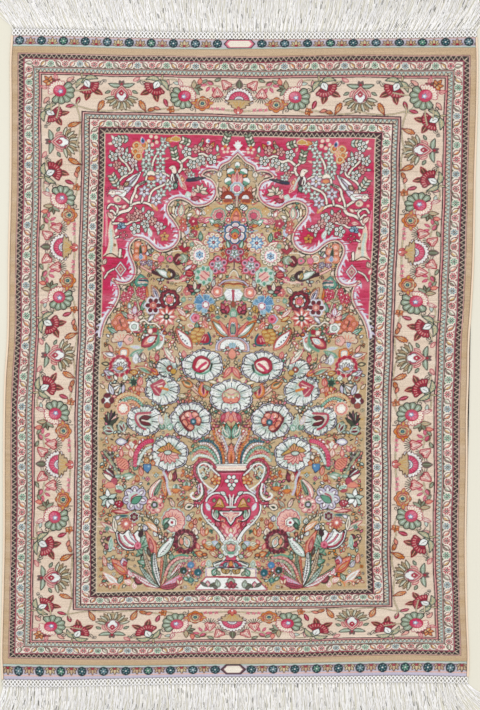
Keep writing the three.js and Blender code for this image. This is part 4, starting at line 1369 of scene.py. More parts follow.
def peony(spot, wide, tall, turn, lobes, heart_wide, heart_tall, aside=0j):
    """A white peony without its heart. Its lobes are a scalloped ring stretched to wide by tall and
    bent a little out of true, and its threads run between a smaller oval, moved aside, and the rim."""
    here = FIELD.at(spot, turn=turn)
    around = np.linspace(0, 2 * np.pi, lobes * 32 + 1)[:-1]
    bent = 1 + 0.1 * np.abs(np.sin(lobes * around / 2))
    bent = bent + 0.035 * np.sin(2 * around + wide) + 0.03 * np.sin(3 * around + tall)
    rim = scallops(lobes * 4, 0.44, 0.02) * bent
    rim = rim.real * wide + 1j * rim.imag * tall
    for size, dye in ((1.1, "charcoal"), (1.045, "lavender"), (1.01, "white")):
        fill(here, rim * size, dye)
    for number in range(lobes):
        line(here, rim[number * 32 + 2:number * 32 + 17 + 9 * (number % 2)] * 0.975, 1.0, "charcoal")
    shape(here.at(aside), oval(heart_wide * 1.25, heart_tall * 1.25), "mist")
    for number in range(lobes * 9):
        outer = rim[number * 32 // 9]
        ray = outer / abs(outer)
        inner = aside + ray.real * heart_wide / 2 + 1j * ray.imag * heart_tall / 2
        long = 0.35 + 0.45 * abs(np.sin(2.4 * number))
        if number % 9 == 0:
            line(here, curve([outer, 0.5 * (outer + inner) * np.exp(0.16j * np.sin(number)), inner]), 1.1,
                 "charcoal")
        else:
            line(here, np.array([inner, inner + (outer - inner) * long]), 0.6, ("sage", "mist", "steel",
                    "mist")[number % 4])
            line(here, np.array([outer * 0.93, outer * (0.84 + 0.06 * (number % 2))]), 0.5,
                 ("grey", "sage")[number % 2])
        if number % 9 == 5:
            line(here, np.array([outer * 1.02, outer * (0.7 + 0.2 * np.sin(number))]), 0.8, "charcoal")
    shape(here.at(aside), oval(heart_wide, heart_tall), "mist", "sage", 0.4)


peony(-29.5 + 224j, 41.0, 30.0, 8, 6, 18, 15, -1 + 0j)
peony(0.5 + 194.5j, 44.0, 32.0, 0, 6, 19, 15, 0j)
peony(-69.5 + 199.5j, 36.0, 28.0, -12, 6, 16, 14, -3 + 2j)
peony(-40.5 + 169j, 40.0, 36.0, -6, 7, 22, 18, -1 - 0.5j)
peony(-88 + 169.5j, 33.0, 30.0, -8, 6, 16, 16, -1 + 0j)
peony(-62.5 + 136j, 37.0, 33.0, -10, 6, 18, 18, 0.5 - 0.5j)
peony(-66 + 222j, 21.0, 19.0, 0, 5, 8, 7, 3 - 2j)
shape(FIELD.at(-30.5 + 224.5j), curve([-9.4 - 3j, -8 + 4.6j, -2 + 8.6j, 4 + 7j, 8 + 3.4j, 6 - 3j,
                                       -0.6 - 7.4j, -6.6 - 6j, -9.4 - 3j]),
      "crimson", "maroon", 0.6)
shape(FIELD.at(-30 + 224.5j), curve([-6.6 - 3j, -5 + 3j, -1.4 + 5.6j, 5.8 + 2.8j, 4 - 2.6j, -1 - 5j,
                                     -6.6 - 3j]), "ivory", "rose", 0.5)
strokes("""
    3 magenta -34.5+219j -31.5+223j -26.5+226.5j, 1 blush -36.5+223j -33.5+227.5j,
    2.2 pine -22+219.5j -21+222.5j -20.5+225.5j, 1.6 sea -36+216j -29+215.5j -23+218.5j""")
shape(FIELD.at(1 + 194j), curve([-9 + 3j, -6 + 5.4j, 8j, 6 + 5.4j, 9 + 3j, 9 - 2.6j, 4 - 6j, -4 - 6j,
                                 -9 - 2.6j, -9 + 3j]),
      "fawn", "rose", 0.7)
shape(FIELD.at(-3.6 + 191j), oval(8.0, 5.6), "salmon", "crimson", 0.6)
leaf(FIELD, 193.5j, 62, 8.0, 3.2, "straw", "sage")
dot(FIELD, -2.2 + 193j, 1.9, "white")
strokes("""
    1 pink -3+196.5j 1+195.5j 4.5+196.5j, 2.2 sky 0.5+208j 0.5+204.5j, 1 charcoal 209.5j 0.5+200.5j""")
shape(FIELD.at(-74 + 202.5j), np.array([-7.6 + 1.6j, 3.4 + 7.6j, 8 + 4.4j, 4 - 1j, 1 - 8.4j, -3 - 7.6j]),
      "rose", "crimson", 0.6)
strokes("""
    1 blush -78+203.5j -74+205j -69+207.5j, 1 blush -78+201.5j -74+197j -72+195j,
    2.6 orange -71+202j -68+201j -64.5+200j, 1.4 ivory -74+203j -70+203.5j,
    1.2 straw -67+208.5j -65+205.5j""")
shape(FIELD.at(-42.5 + 169j), curve([-10 + 3.4j, -5 + 7.6j, 0.6 + 6j, 6 + 8j, 9 + 3.4j, 10 - 4j, 5 - 3.6j,
                                     1.6 - 10j, -4 - 7.6j, -10 + 3.4j]),
      "salmon", "maroon", 0.9)
for spot, turn in rows_of("""
        -48+171.5j 60, -44+175j 20, -36.5+174.5j -30, -33.5+169.5j -80, -41.5+162.5j 170, -47+166j 120"""):
    shape(FIELD.at(spot, turn=turn), oval(6.8, 5.0), "salmon", "maroon", 0.9)
    fill(FIELD.at(spot, turn=turn).at(0.9j), oval(3.0, 2.0), "blush")
strokes("""
    2.2 maroon -52.5+172.5j -51+168j -46.5+162j -43+159.5j, 1.4 maroon -48+177.5j -41.5+179j -34.5+178.5j,
    1.5 crimson -46+171.5j -43+168.5j -39+166.5j, 1.6 pink -41+174.5j -41.5+170.5j -38+171.5j,
    1 ivory -45+174.5j -43+173j""")
rosette(-38.5 + 168j, "6 3 teal mauve, 4 1.4 sky -")
strokes("""
    2.4 rose -82+177j -88.5+176.5j -95.5+175.5j -97+171.5j -95+166.5j -91.5+162.5j -87+160.5j,
    1 blush -83.5+175j -91.5+174.5j -94.5+171.5j -92.5+166.5j""")
for turn, point in ((-76, -93 + 170j), (-112, -92.5 + 169j)):
    leaf(FIELD, point, turn, 11.6, 4.8, "maroon", "charcoal")
line(FIELD, np.array([-90.5 + 169.5j, -83 + 168j]), 1.0, "ivory")
for turn in range(108, 270, 26):
    leaf(FIELD, -63 + 137.5j, turn, 11.4, 5.6, "blush", "crimson", rib="salmon")
shape(FIELD, curve([-74.5 + 139j, -70 + 142.5j, -66 + 143.5j, -63 + 146.5j, -59.5 + 143j, -55.5 + 139.5j,
                    -50.5 + 135.5j, -57.5 + 137.5j, -64 + 139.5j, -70 + 138j, -74.5 + 139j]), "gold",
      "brown", 0.8)
rays(-63 + 136.5j, 40, 146, 6, 3.0, 8.6, 0.6, "brown")
rays(-63 + 136.5j, 50, 140, 5, 4.0, 8.0, 0.9, "salmon")
shape(FIELD.at(-64 + 137j), oval(7.0, 3.6), "mist", "charcoal", 0.7)
rosette(-63 + 221j, "5 2.8 rust maroon, 1 1 white -")
shape(FIELD.at(-59 + 218j), oval(5.4, 5.0), "gold", "brown", 0.5)

# %% Between the peonies
rosette(-113.5 + 223.5j, "12 10.8 crimson magenta, 10 8.2 blush rose, 8 7 white grey")
for turn in (-70, -45, -20, 0, 21, 45, 71):
    lined_leaf(-113 + 218.5j, turn, 8.6, 2.4, "lavender" if turn % 2 else "white", "grey")
shape(FIELD.at(-113.5 + 219.5j), fan(10, 170, 3, 3.0, 0.4), "gold", "rust", 0.4)
rays(-113.5 + 223.5j, 200, 340, 5, 8.0, 10.0, 0.9, "blush")
leaves("""
    -121+214.5j 62 9.6 4.4 lavender mauve, -119.5+215j 70 6 2.6 mist grey,
    -125+225.5j 84 7 3.2 olive charcoal, -121+210j 74 7.6 3.4 sage rust, -123+210.5j 40 4 2 crimson -,
    -107.5+209.5j 0 5 4.6 white sage, -116+209.5j 30 5.6 3 cream charcoal,
    -97.5+226j 4 9 5.4 white lavender, -94.5+227j -24 7 3.6 lavender grey, -90+228j 6 8 5 fawn mauve,
    -76+228.5j 10 7 3.6 rose crimson, -82+222.5j 12 5.6 2.6 fawn olive, -82+215.5j 64 17 4 sage rust,
    -83+216.5j 64 12 1.6 sea -, -75.5+215j 44 8 4.6 orange rust, -95.5+216.5j 84 7.6 4.4 gold rust,
    -58.5+227.5j 40 18 4.6 cream rose, -62+233.5j 40 9.6 1.8 ivory sage,
    -48.5+232.5j 10 6 3.6 salmon rose, -54.5+224.5j 16 8.6 2.6 ivory olive""")
strokes("""
    0.9 grey -97+237j -92.5+231j -85.5+227j -80+219.5j, 0.9 charcoal -84+237j -84.5+231j -82+225j,
    1.8 rose -98+221.5j -91+222.5j -85+221j -77.5+217.5j, 1 straw -97+221.5j -90+222j -83+219.5j,
    0.9 olive -41.5+151.5j -35.5+146.5j -28.5+141j, 0.9 brown -114.5+155.5j -104+155j -94+151j,
    0.9 olive -21.5+179j -15.5+171.5j -9.5+164.5j -6.5+158.5j,
    0.8 mauve -21.5+176j -17.5+169.5j -11.5+163.5j,
    1.6 sage -128.5+138j -123.5+132j -118.5+124j -114+116j, 0.8 pine -127+139j -122+133j -117.5+125j,
    0.9 rose -129.5+135j -124.5+129j -120+122j, 1 mauve -127.5+141j -122.5+136j -118.5+129j""")
leaves("""
    -111+114j 96 9 2.6 sea sage, -109+114.5j -84 10 3 sage sea, -106+111.5j -70 8 2.6 mist sage,
    -113+120j -30 7 2.4 sea pine""")
shape(FIELD.at(-99 + 207j), star(7, 4.6, 2.6) * 1j, "pine", "sea", 0.4)
leaves("""
    -93+204j -10 7.6 5 salmon rose, -95+203j -170 5.6 6 salmon rust, -92+201.5j -140 5 4 blush rust,
    -98.5+203j 170 5 3 orange rust""")
for number in range(5):
    leaf(FIELD, -109 + 203.5j + 0.3j * number, 84 + 22 * number, 13.5 - number, 3.0,
         ("fawn", "white", "cream", "mist", "lavender")[number], "charcoal")
leaves("""
    -120+195j 22 11 4.4 lavender charcoal, -123+193.5j 30 9.6 1.8 white -,
    -129+201.5j 44 6 2.4 cream brown""")
for point, size in ((-126 + 193.5j, 6.6), (-128.5 + 189j, 6.2), (-122.5 + 189j, 6.8),
                    (-125.5 + 184.5j, 6.0)):
    shape(FIELD.at(point), oval(size, size * 0.9), "maroon" if size > 6.1 else "rust", "plum", 0.5)
shape(FIELD.at(-126 + 189.5j), star(4, 4.2, 1.5) * np.exp(0.78j), "white", "grey", 0.4)
for number in range(7):
    leaf(FIELD, -121.5 + 164.5j - 0.6 * (number - 3), 51 - 17 * number, 14.6 - abs(number - 3), 3.0,
         ("pine", "maroon", "sage", "mauve", "charcoal", "blush", "moss")[number], "charcoal")
for point, turn in ((-109 + 158j, 14), (-119.5 + 158j, 66)):
    leaf(FIELD, point, turn, 10.6, 9.6, "sage", "pine")
    for side in (-1, 1):
        leaf(FIELD, point, turn + 16 * side, 8.6, 2.6, "maroon" if side > 0 else "rust", "mist")
plume([-117 + 185.5j, -114 + 192j, -106 + 195.5j, -97.5 + 193.5j, -90 + 188j], 3.0, "straw", "rust",
      "orange")
plume([-113 + 184j, -110 + 188.5j, -103 + 191.5j, -96 + 189.5j, -90.5 + 184.5j], 2.4, "sea", "moss",
      "mist")
plume([-109 + 182.5j, -104 + 186.5j, -98.5 + 187j, -93.5 + 183j], 2.0, "orange", "rust", "cream")
rosette(-109.5 + 181j, "9 6.8 salmon fawn, 8 4.6 ivory rose, 1 2.2 white -")
for turn, length in ((6, 14), (-14, 9), (30, 9), (82, 8), (-64, 7)):
    lined_leaf(-65 + 161.5j, turn, length, 3.0, "sage" if turn % 4 else "sea", "mist")
leaves("""
    -68.5+161j 40 6 5 sea grey, -63.5+160j -30 6 5 mist sea, -70+165.5j 20 9 4 lavender fawn,
    -28+192j 46 31 4.6 blush brown, -30.5+193.5j 46 26 1 tan -, -39+203j 66 12 6.6 orange brown,
    -41+205j 66 8 2.6 olive -, -26.5+192.5j 14 14.6 9.6 orange rust, -27.5+195j 8 9.6 2 maroon pink,
    -25+196j -30 4 3 crimson -, -20.5+199.5j 60 9 3.4 sage olive, -45.5+193j 84 9 3.6 straw olive,
    -10.5+208.5j 20 4.6 3.6 ivory straw, -2.5+178.5j 40 5 3 lavender charcoal,
    -14.5+207j 80 9 3 straw olive""")
for side in (-1, 1):
    lined_leaf(-0.5 + 222.5j + 0.6 * side, 180 + side * 34, 12.0, 4.6, "salmon", "rose")
    lined_leaf(0.5 + 178.5j + 2.6 * side, 180 + side * 22, 10.6, 4.6, "salmon", "rose")
    lined_leaf(0.5 + 176.5j + 7 * side, 180 + side * 24, 8.0, 3.6, "crimson", "rose")
    lined_leaf(0.5 + 152.5j + 2 * side, -side * 14, 15.0, 5.6, "sea", "pine")
    lined_leaf(0.5 + 153.5j + 4.6 * side, -side * 30, 9.0, 4.0, "pine", "mist")
strokes("""
    1.4 ivory 213.5j 208.5j, 1.4 maroon 0.5+168.5j 0.5+154.5j 0.5+138.5j,
    1 olive -10+176.5j -11.5+172.5j -9.5+164.5j -5.5+157.5j, 1 ivory -8.5+164.5j -7+159.5j -3.5+155.5j""")
leaf(FIELD, 0.5 + 168.5j, 0, 8.6, 5.6, "salmon", "rose")
print("peonies drawn")

# %% [markdown]
# ### The vase
#
# Feathered leaves arch out of the vase in nested strokes. The vase is crimson with a pale edge. It
# stands on a plinth and a sloping foot, and has a handle like an S on each side.

# %% The vase


for plume_row in (
        ([-7.5 + 124.5j, -8 + 134.5j, -11 + 144.5j, -15.5 + 150.5j, -18 + 159.5j], 1.8, "orange", "rust",
         "brown"),
        ([-10 + 124.5j, -11.5 + 137.5j, -16.5 + 145.5j, -23.5 + 149.5j, -32.5 + 148.5j], 1.6, "teal",
         "navy", "steel"),
        ([-11.5 + 124.5j, -13.5 + 135.5j, -18.5 + 142.5j, -24.5 + 146.5j, -30.5 + 146.5j], 2.0, "white",
         "grey", "rose"),
        ([-13.5 + 128.5j, -17.5 + 136j, -23.5 + 141.5j, -30.5 + 143j, -38 + 139j], 2.2, "sea", "moss",
         "mist"),
        ([-15.5 + 127.5j, -20 + 134j, -26.5 + 138j, -32.5 + 138.5j, -37.5 + 135j], 1.2, "blush", "rose",
         "rose"),
        ([-14.5 + 125.5j, -19.5 + 131.5j, -27 + 134.5j, -33.5 + 134.5j, -39 + 130j], 2.0, "mist", "sage",
         "white"),
        ([-2.5 + 124.5j, -4 + 135.5j, -6.5 + 144.5j, -10.5 + 152.5j, -15 + 158.5j], 1.6, "cream", "rose",
         "maroon"),
        ([-3 + 124.5j, -3.5 + 138.5j, -5.5 + 146.5j, -9.5 + 154.5j], 1.2, "lavender", "grey", "white")):
    plume(*plume_row)
strokes("""
    1.6 straw -24.5+132j -20.5+130.5j -17+126.5j, 1 sage -40+129j -41+134j -39+138j,
    1 rust -19.5+153.5j -25.5+152.5j, 0.8 olive -32.5+143j -38+146j -43.5+148.5j""")
leaf(FIELD, 0.5 + 123.5j, 0, 25.0, 8.0, "salmon", "brown", rib="rust")
leaf(FIELD, 0.5 + 124.5j, 0, 15.0, 3.0, "rust", "orange")
VASE = [0.5 + 124.5j, -17.5 + 124j, -18 + 122j, -13.5 + 118j, -11 + 114.5j, -11 + 109.5j, -13 + 104.5j,
        -17 + 99.5j, -22.5 + 96j, -26.5 + 90.5j, -28 + 84j, -27 + 77.5j, -23 + 71j, -17.5 + 65j,
        -12.5 + 60j, -9 + 54.5j, -7.5 + 49.5j, 0.5 + 48.5j]
shape(FIELD, np.array([-24.5 + 13j, -35 + 1j, 0.5 + 1j, 1 + 13.5j]), "white", "rose", 1.1)
shape(FIELD, np.array([-24 + 21.5j, -24 + 14j, 1 + 14.5j, 1 + 22j]), "ivory", "rose", 0.7)
line(FIELD, np.array([-25 + 14j, -25 + 22j, 1 + 22.5j]), 1.1, "lavender")
line(FIELD, np.array([-25.5 + 13j, 1 + 13j]), 1.3, "crimson")
shape(FIELD, curve(VASE), "magenta", "grey", 2.3)
shape(FIELD, curve(VASE), "magenta", "white", 1.6)
line(FIELD, curve(VASE[2:]), 1.1, "maroon")
for step in range(9):
    dot(FIELD, -25.5 + 74.5j + step * (1.75 - 1.85j) + 0.7j * (step % 2), 1.9, "mist")
shape(FIELD, np.array([-18 + 124.5j, -14 + 120j, 0.5 + 120j, 1 + 124.5j]), "ivory", "mauve", 0.5)
strokes("""
    0.8 blush -15.5+122.5j 0.5+122j, 1.4 maroon -14.5+119j -7.5+118.5j 0.5+118.5j,
    0.8 pink -9.5+117j 0.5+117j, 0.9 crimson -8.5+114.5j -8+109.5j -10.5+103.5j""")
round_petals(109.5j, 6, 4.5, 3.2, 4.0, "white", "charcoal", 30, 0.6)
rosette(109.5j, "6 2.2 pink charcoal, 3 1.2 sage -")
round_petals(-15.5 + 110.5j, 5, 3.2, 4.0, 4.0, "orange", "maroon", 10)
dot(FIELD, -14.5 + 110.5j, 3.4, "orange")
dot(FIELD, -14.5 + 110j, 1.8, "rose")
VOLUTE = -14.5 + 87j
for size, dye in ((12.2, "charcoal"), (11.5, "white"), (10.0, "charcoal"), (9.3, "magenta")):
    fill(FIELD, VOLUTE + size * np.exp(1j * np.radians(np.linspace(-14, 176, 20))) * (1 - 0.1j), dye)
fill(FIELD, np.array([-26.5 + 87.5j, -25 + 78.5j, -17.5 + 71.5j, -2 + 82.5j, -3.5 + 87.5j]), "magenta")
for turn in range(14, 172, 14):
    dot(FIELD, VOLUTE + 8.0 * np.exp(1j * np.radians(turn)), 1.5, "pink")
shape(FIELD.at(-12 + 86j), curve([-6 - 2.6j, -3.4 - 0.4j, -1 + 4.6j, 0.4 + 6j, 2.6 + 3.4j, 4.6 - 1j,
                                  4.4 - 2.6j, -6 - 2.6j]), "gold", "brown", 0.7)
strokes("""
    0.9 blush -13+87.5j -11.5+90j -10.5+86.5j, 0.8 rust -16.5+84j -13+86j -8.5+84j""")
shape(FIELD.at(-13.5 + 81.5j), oval(9.6, 3.4), "crimson", "maroon", 0.5)
leaves("""
    -21.5+80.5j 24 7 2.6 white lavender, -17+88.5j 4 3.4 2.4 sage moss, 93.5j 180 6.6 4.4 pink charcoal,
    100j 0 4.4 4 mist moss, -6+96j 64 6 3 white charcoal, -14.5+71.5j 4 9 5 sage charcoal,
    -14+77.5j 0 3 2.6 sea -, -11+63.5j 34 7.6 5 crimson maroon, -6.5+67j 30 6 4.6 salmon crimson,
    -4.5+60.5j 30 8.4 5.6 salmon crimson, -7.5+56.5j 24 7 4.4 rose crimson, -1+56j 26 8.4 5.6 blush pink,
    -4.5+50.5j 20 8 5 pink rose, 0.5+57j 0 6 4.6 straw crimson, 0.5+49.5j 0 8.6 6.6 white pink,
    -3+49.5j 6 4.6 3 ivory rose""")
strokes("""
    1.1 white -2+95.5j -1+90.5j -1+84.5j, 0.8 charcoal -3.5+94.5j -2.5+89.5j -2+85.5j,
    1.3 mist -4.5+83.5j 1+83.5j, 0.9 charcoal -5+82j 1+82j,
    1.1 charcoal -19+81j -19+75.5j -16.5+71j -12.5+69j -7.5+69.5j,
    0.9 white -18+80.5j -18+75.5j -15.5+72j -11.5+70j""")
BANNER = np.array([1 + 81j, -1.5 + 79j, -12 + 79j, -10 + 75.5j, -5 + 73j, -2.5 + 68.5j, 1.5 + 63j])
shape(FIELD, BANNER, "charcoal", "charcoal", 0.8)
BANNER_HEART = 1 + 74.5j
shape(FIELD, BANNER_HEART + 0.95 * (BANNER - BANNER_HEART), "white")
shape(FIELD, BANNER_HEART + 0.7 * (BANNER - BANNER_HEART), "blush", "rose", 0.4)
strokes("""
    0.9 rose -8+77j -3+76.5j -1.5+71.5j, 1.1 cream -6+75.5j -2+75j 0.5+69.5j""")
strokes("""
    2 white -18+64.5j -13+60.5j -9+55.5j -7+49.5j, 1 charcoal -16+65.5j -10+58.5j -5.5+51.5j,
    1.4 rose -14.5+55.5j -14+49.5j""")
shape(FIELD, np.array([1 + 34.5j, -5 + 34.5j, -5.5 + 30.5j, -12 + 29j, -17.5 + 27j, -17 + 24j,
                       -14 + 22.5j, 1 + 23j]),
      "mist", "charcoal", 0.7)
shape(FIELD, np.array([1 + 34.5j, -4.5 + 34.5j, -5 + 30.5j, -9 + 28j, -12 + 23j, 1 + 23.5j]), "magenta",
      "maroon", 0.4)
strokes("""
    1.6 white -6+32.5j -8+29j -13+27j -16+25j, 1 charcoal -6+30.5j -3+29.5j 1+30.5j,
    1.2 charcoal -16+26.5j -11+28.5j -6+29.5j, 1.2 steel -12+23.5j -4+23.5j,
    0.9 maroon -15+24.5j -9+25.5j -5+24.5j, 1.3 white -4+24.5j -1.5+28j 1+29j""")
leaf(FIELD, 0.5 + 23.5j, 0, 6.4, 5.0, "orange", "brown", rib="gold")
leaf(FIELD, -7 + 24j, -40, 5.0, 2.4, "steel", "charcoal")
round_petals(42.5j, 8, 6.8, 5.8, 5.4, "white", "grey", 0, 0.4)
rosette(42.5j, "8 6.2 mist grey, 6 4.6 teal sage, 6 3.4 blush rose")
strokes("""
    1 salmon -4+45.5j -2+41.5j 0.5+45j, 2.4 sea -2+37.5j 1+38j""")
HANDLE = [-16.5 + 123.5j, -21 + 129j, -27.5 + 131j, -33 + 129j, -37 + 123.5j, -37 + 117j, -33.5 + 111j,
          -28.5 + 106j, -25.5 + 99.5j, -26.5 + 92.5j, -30.5 + 87.5j, -36 + 88j]
line(FIELD, curve(HANDLE), 3.4, "maroon")
line(FIELD, curve(HANDLE), 2.2, "rose")
for number, spot in enumerate(curve(HANDLE)[2:-2:2]):
    dot(FIELD, spot, 1.0, "pink" if number % 2 else "crimson")
strokes("""
    2.2 grey -14.5+117j -19+121j -23+126j -28+127.5j -33+125j -34+120j -32+113.5j -28.5+108.5j,
    1.4 white -14.5+117j -19+121j -23+125.5j -28+127j -32.5+124.5j -33.5+120.5j -31.5+113.5j -28.5+108.5j
      -23.5+104j -18.5+101j, 1 charcoal -29.5+108.5j -28+101.5j -28.5+94.5j -33+89.5j -38+90j,
    1.8 white -31+106.5j -29.5+100.5j -30.5+95j -34.5+91.5j -39+92.5j -40.5+95.5j -38.5+97.5j,
    1.2 mist -32+116.5j -29+113.5j -27.5+117j -29.5+119j, 1.2 mist -25.5+120.5j -22.5+119.5j -21.5+123j,
    1.4 mist -31.5+121.5j -28.5+124j -26.5+123j, 1.2 lavender -21.5+101.5j -24+98.5j -21+97.5j,
    1 lavender -32.5+106j -33.5+102j -32.5+97.5j""")
leaves("""
    -18+15j -30 7.6 5.4 sea moss, -11+15.5j 40 5 2.4 sage moss, -6+17j -50 5.6 3.4 gold brown,
    -5+17.5j 50 5.6 3.4 gold brown, 1+15.5j 0 5.6 3 ivory moss, -23.5+3.5j 0 5.6 4 pink mauve,
    -24.5+4j 58 7 2.2 grey moss, -21.5+3.5j -58 7 2.2 olive moss, -13+3j 10 7.4 5 sage grey,
    -14.5+2j 60 5 2.4 grey moss, -7.5+2.5j -70 6 1.6 grey -, 6.5j 0 6 7 sage grey""")
round_petals(5j, 3, 2.2, 3.4, 3.4, "crimson", "maroon", 0)
round_petals(-3 + 5.5j, 2, 1.4, 2.4, 2.2, "rose", "maroon", 60)
print("vase drawn")

# %% Plants beside the vase
leaves("""
    -116.5+148j -90 12 6.4 lavender charcoal, -114.5+148j -88 7 2.4 white -, -106+147.5j -30 6.6 2 pine -,
    -118.5+149.5j 70 5 1.6 charcoal -, -119.5+139j 10 6 3.4 cream rust, -118.5+139j -28 5.6 3 salmon rose,
    -121+139j 42 5 2.6 orange rust, -120+134j 0 5 2 moss -, -100.5+141.5j 6 6.6 5 white fawn,
    -102.5+141j 42 6 3 blush rose, -98+141j -40 6 3 blush rust, -100.5+132.5j 8 8.6 5 blush rust,
    -111+133j 0 7.6 3 salmon rose, -84.5+127j 24 6 4.4 gold rust, -79+124.5j 4 5 3.4 orange rust,
    -82+130.5j -20 4.6 3 cream olive, -90.5+114.5j 8 8.6 4 salmon rust, -94+109j 10 6 3.4 orange rust,
    -99+124j 20 5.6 3.6 rose sage, -98+120j -30 6 3.6 sea moss, -65+109j 6 10 4.6 crimson maroon,
    -58+108.5j -8 10 4.4 maroon plum, -61.5+109j 0 9 4 straw rust, -65.5+93.5j 12 20 4 orange rust,
    -108.5+101j 66 7.6 2.6 sea mist, -109.5+98.5j 80 6.6 2.2 rose rust, -57+83j 26 9 4 blush moss,
    -53+83.5j -44 9.6 3.6 sage rust, -46+82j -70 9.6 6 ivory charcoal, -44+82.5j -70 5 2.6 pine -,
    -41+73.5j -40 6 3.6 straw olive, -42+69.5j 6 5.6 4.6 lavender navy, -40+62.5j -4 5.6 4 orange rust,
    -36+66j -10 6 3.4 salmon maroon, -36.5+55j -4 8 6.4 ivory mauve, -32.5+52.5j 60 5 2.6 sage moss""")
plume([-97 + 125j, -96.5 + 135j, -92 + 143j, -86 + 147.5j, -80 + 149j], 4.0, "magenta", "charcoal",
      "pink")
plume([-94 + 126j, -91 + 134j, -86 + 140.5j, -81 + 143j], 2.4, "mist", "olive", "white")
shape(FIELD.at(-85 + 122j), np.array([-3.6 + 3.4j, 3.6 + 3.4j, 3.4 - 1j, 0.4 - 4.4j, -3.2 - 1.6j]),
      "blue", "navy", 0.6)
dot(FIELD, -83.5 + 123.5j, 2.0, "sky")
striped(-104.5 + 121.5j, 48, 15.0, 9.6, "salmon", "rose", "rust", 5)
for number in range(4):
    leaf(FIELD, -116.5 + 108j, 28 + 9.0 * number, 17.0 - abs(number - 1.5), 3.8,
         ("maroon", "white", "rose", "ivory")[number], "plum")
shape(FIELD.at(-117.5 + 109j), oval(6.0, 6.4), "rose", "maroon", 0.6)
shape(FIELD.at(-121.5 + 102.5j), fan(10, 170, 4, 4.8, 0.8), "salmon", "rose", 0.5)
for turn, length in ((8, 10), (-60, 9.6), (78, 9), (132, 9), (176, 9), (-128, 9)):
    leaf(FIELD, -123 + 91.5j, turn, length, 4.2, "white" if turn % 3 else "mist", "charcoal")
line(FIELD, np.array([-124.5 + 91j, -114.5 + 92j]), 1.2, "pine")
leaf(FIELD, -108 + 86j, 82, 9.0, 6.2, "crimson", "maroon")
for point in (-114.5 + 87.5j, -111.5 + 88.5j, -112 + 86j):
    dot(FIELD, point, 0.9, "white")
leaves("""
    -103+78.5j 86 17 3.2 rose rust, -99+80j 84 12 2.2 cream rose, -103+75j 92 14 2.2 teal sage,
    -81+92j -26 21 9 blush charcoal, -79.5+93j -26 18 3.6 magenta white, -77+94j -24 17 3.4 pine sage""")
strokes("""
    2.2 lavender -68.5+117.5j -65+110.5j -64+102.5j -61+95.5j,
    0.8 mist -67.5+116.5j -64+109.5j -63.5+101.5j""")
for turn in (4, 52, 100, 152, 206, 256, 312):
    shape(FIELD.at(-96 + 92j).at(8.2j * np.exp(1j * np.radians(turn))), oval(8.2, 8.2), "lavender",
          "charcoal", 0.7)
for turn in (4, 52, 100, 152, 206, 256, 312):
    leaf(FIELD, -96 + 92j + 6.0j * np.exp(1j * np.radians(turn)), turn, 4.6, 2.4, "white", "mauve")
rosette(-96.5 + 92j, "6 6.4 mist lavender")
strokes("""
    1.6 rose -100+88.5j -99+93.5j -94+96j, 1 ivory -98.5+88.5j -97+93j -93+94.5j""")
leaf(FIELD, -99.5 + 87.5j, -58, 12.0, 6.0, "sea", "pine")
for turn in (10, 60, 110, 160, 210, 262, 312):
    shape(FIELD.at(-76 + 85j).at(5.4j * np.exp(1j * np.radians(turn))), oval(6.0, 5.6), "blush", "rose",
          0.7)
    dot(FIELD, -76 + 85j + 5.6j * np.exp(1j * np.radians(turn)), 2.2, "rose" if turn % 3 else "ivory")
rosette(-76.5 + 85j, "5 3.4 moss sage, 4 1.8 lavender -")
for spot in (-55.5 + 100j, -45 + 103j):
    shape(FIELD.at(spot + 2.4j), oval(6.0, 5.4), "mist", "sage", 0.6)
    leaf(FIELD, spot + 0.6j, 0, 4.0, 1.6, "sea", "grey")
    shape(FIELD.at(spot + 1j), fan(190, 350, 4, 3.8, 0.6), "orange", "rust", 0.5)
    rays(spot, 200, 340, 5, 2.6, 5.4, 0.6, "rust")
shape(FIELD.at(-57 + 69.5j), scallops(14, 11.6, 1.2), "mist", "sage", 0.5)
shape(FIELD.at(-57 + 69.5j), scallops(12, 9.8, 1.0), "blush", "rose", 0.8)
rays(-59 + 68j, -80, 150, 10, 3.6, 9.6, 0.8, "salmon")
rays(-59 + 68j, -70, 140, 9, 5.6, 9.4, 0.7, "rose")
shape(FIELD.at(-59 + 68j), scallops(7, 4.6, 0.8), "ivory", "crimson", 0.5)
leaves("""
    -61+71j 132 9.6 6.6 sea moss, -63+67j 150 8 3.6 pine moss""")
rosette(-59 + 67.5j, "5 3.6 white charcoal, 3 1.6 crimson -")
shape(FIELD.at(-46 + 49j), scallops(17, 10.8, 1.6), "maroon", "plum", 0.5)
round_petals(-46 + 49j, 7, 7.6, 7.6, 6.4, "maroon", "plum", 14, 0.5)
rays(-46 + 49j, 0, 345, 17, 8.8, 11.6, 0.5, "rose")
rosette(-45.5 + 49j, "6 9 rose plum, 6 8 blush charcoal, 5 6.8 sand moss")
leaf(FIELD, -42.5 + 43.5j, 20, 11.0, 6.0, "white", "charcoal")
leaf(FIELD, -43.5 + 45.5j, 16, 6.6, 2.4, "blush", "sage")
leaf(FIELD, -49 + 45.5j, 8, 7.6, 3.4, "salmon", "moss")
round_petals(-97 + 73.5j, 6, 3.2, 4.0, 4.0, "white", "sage", 0, 0.5)
round_petals(-97 + 73.5j, 6, 3.0, 2.6, 2.6, "maroon", "mauve", 0, 0.3)
rays(-105 + 67j, 0, 330, 12, 2.0, 5.8, 1.2, "rose")
rays(-105 + 67j, 15, 345, 12, 2.0, 5.4, 0.9, "orange")
rosette(-105 + 67j, "6 2.8 salmon rose, 1 1.6 white -")
for number, turn in enumerate(range(-160, 40, 18)):
    leaf(FIELD, -93 + 44j, turn, 13.6, 4.2, "sea", "moss" if number % 2 else "sage", rib="mist")
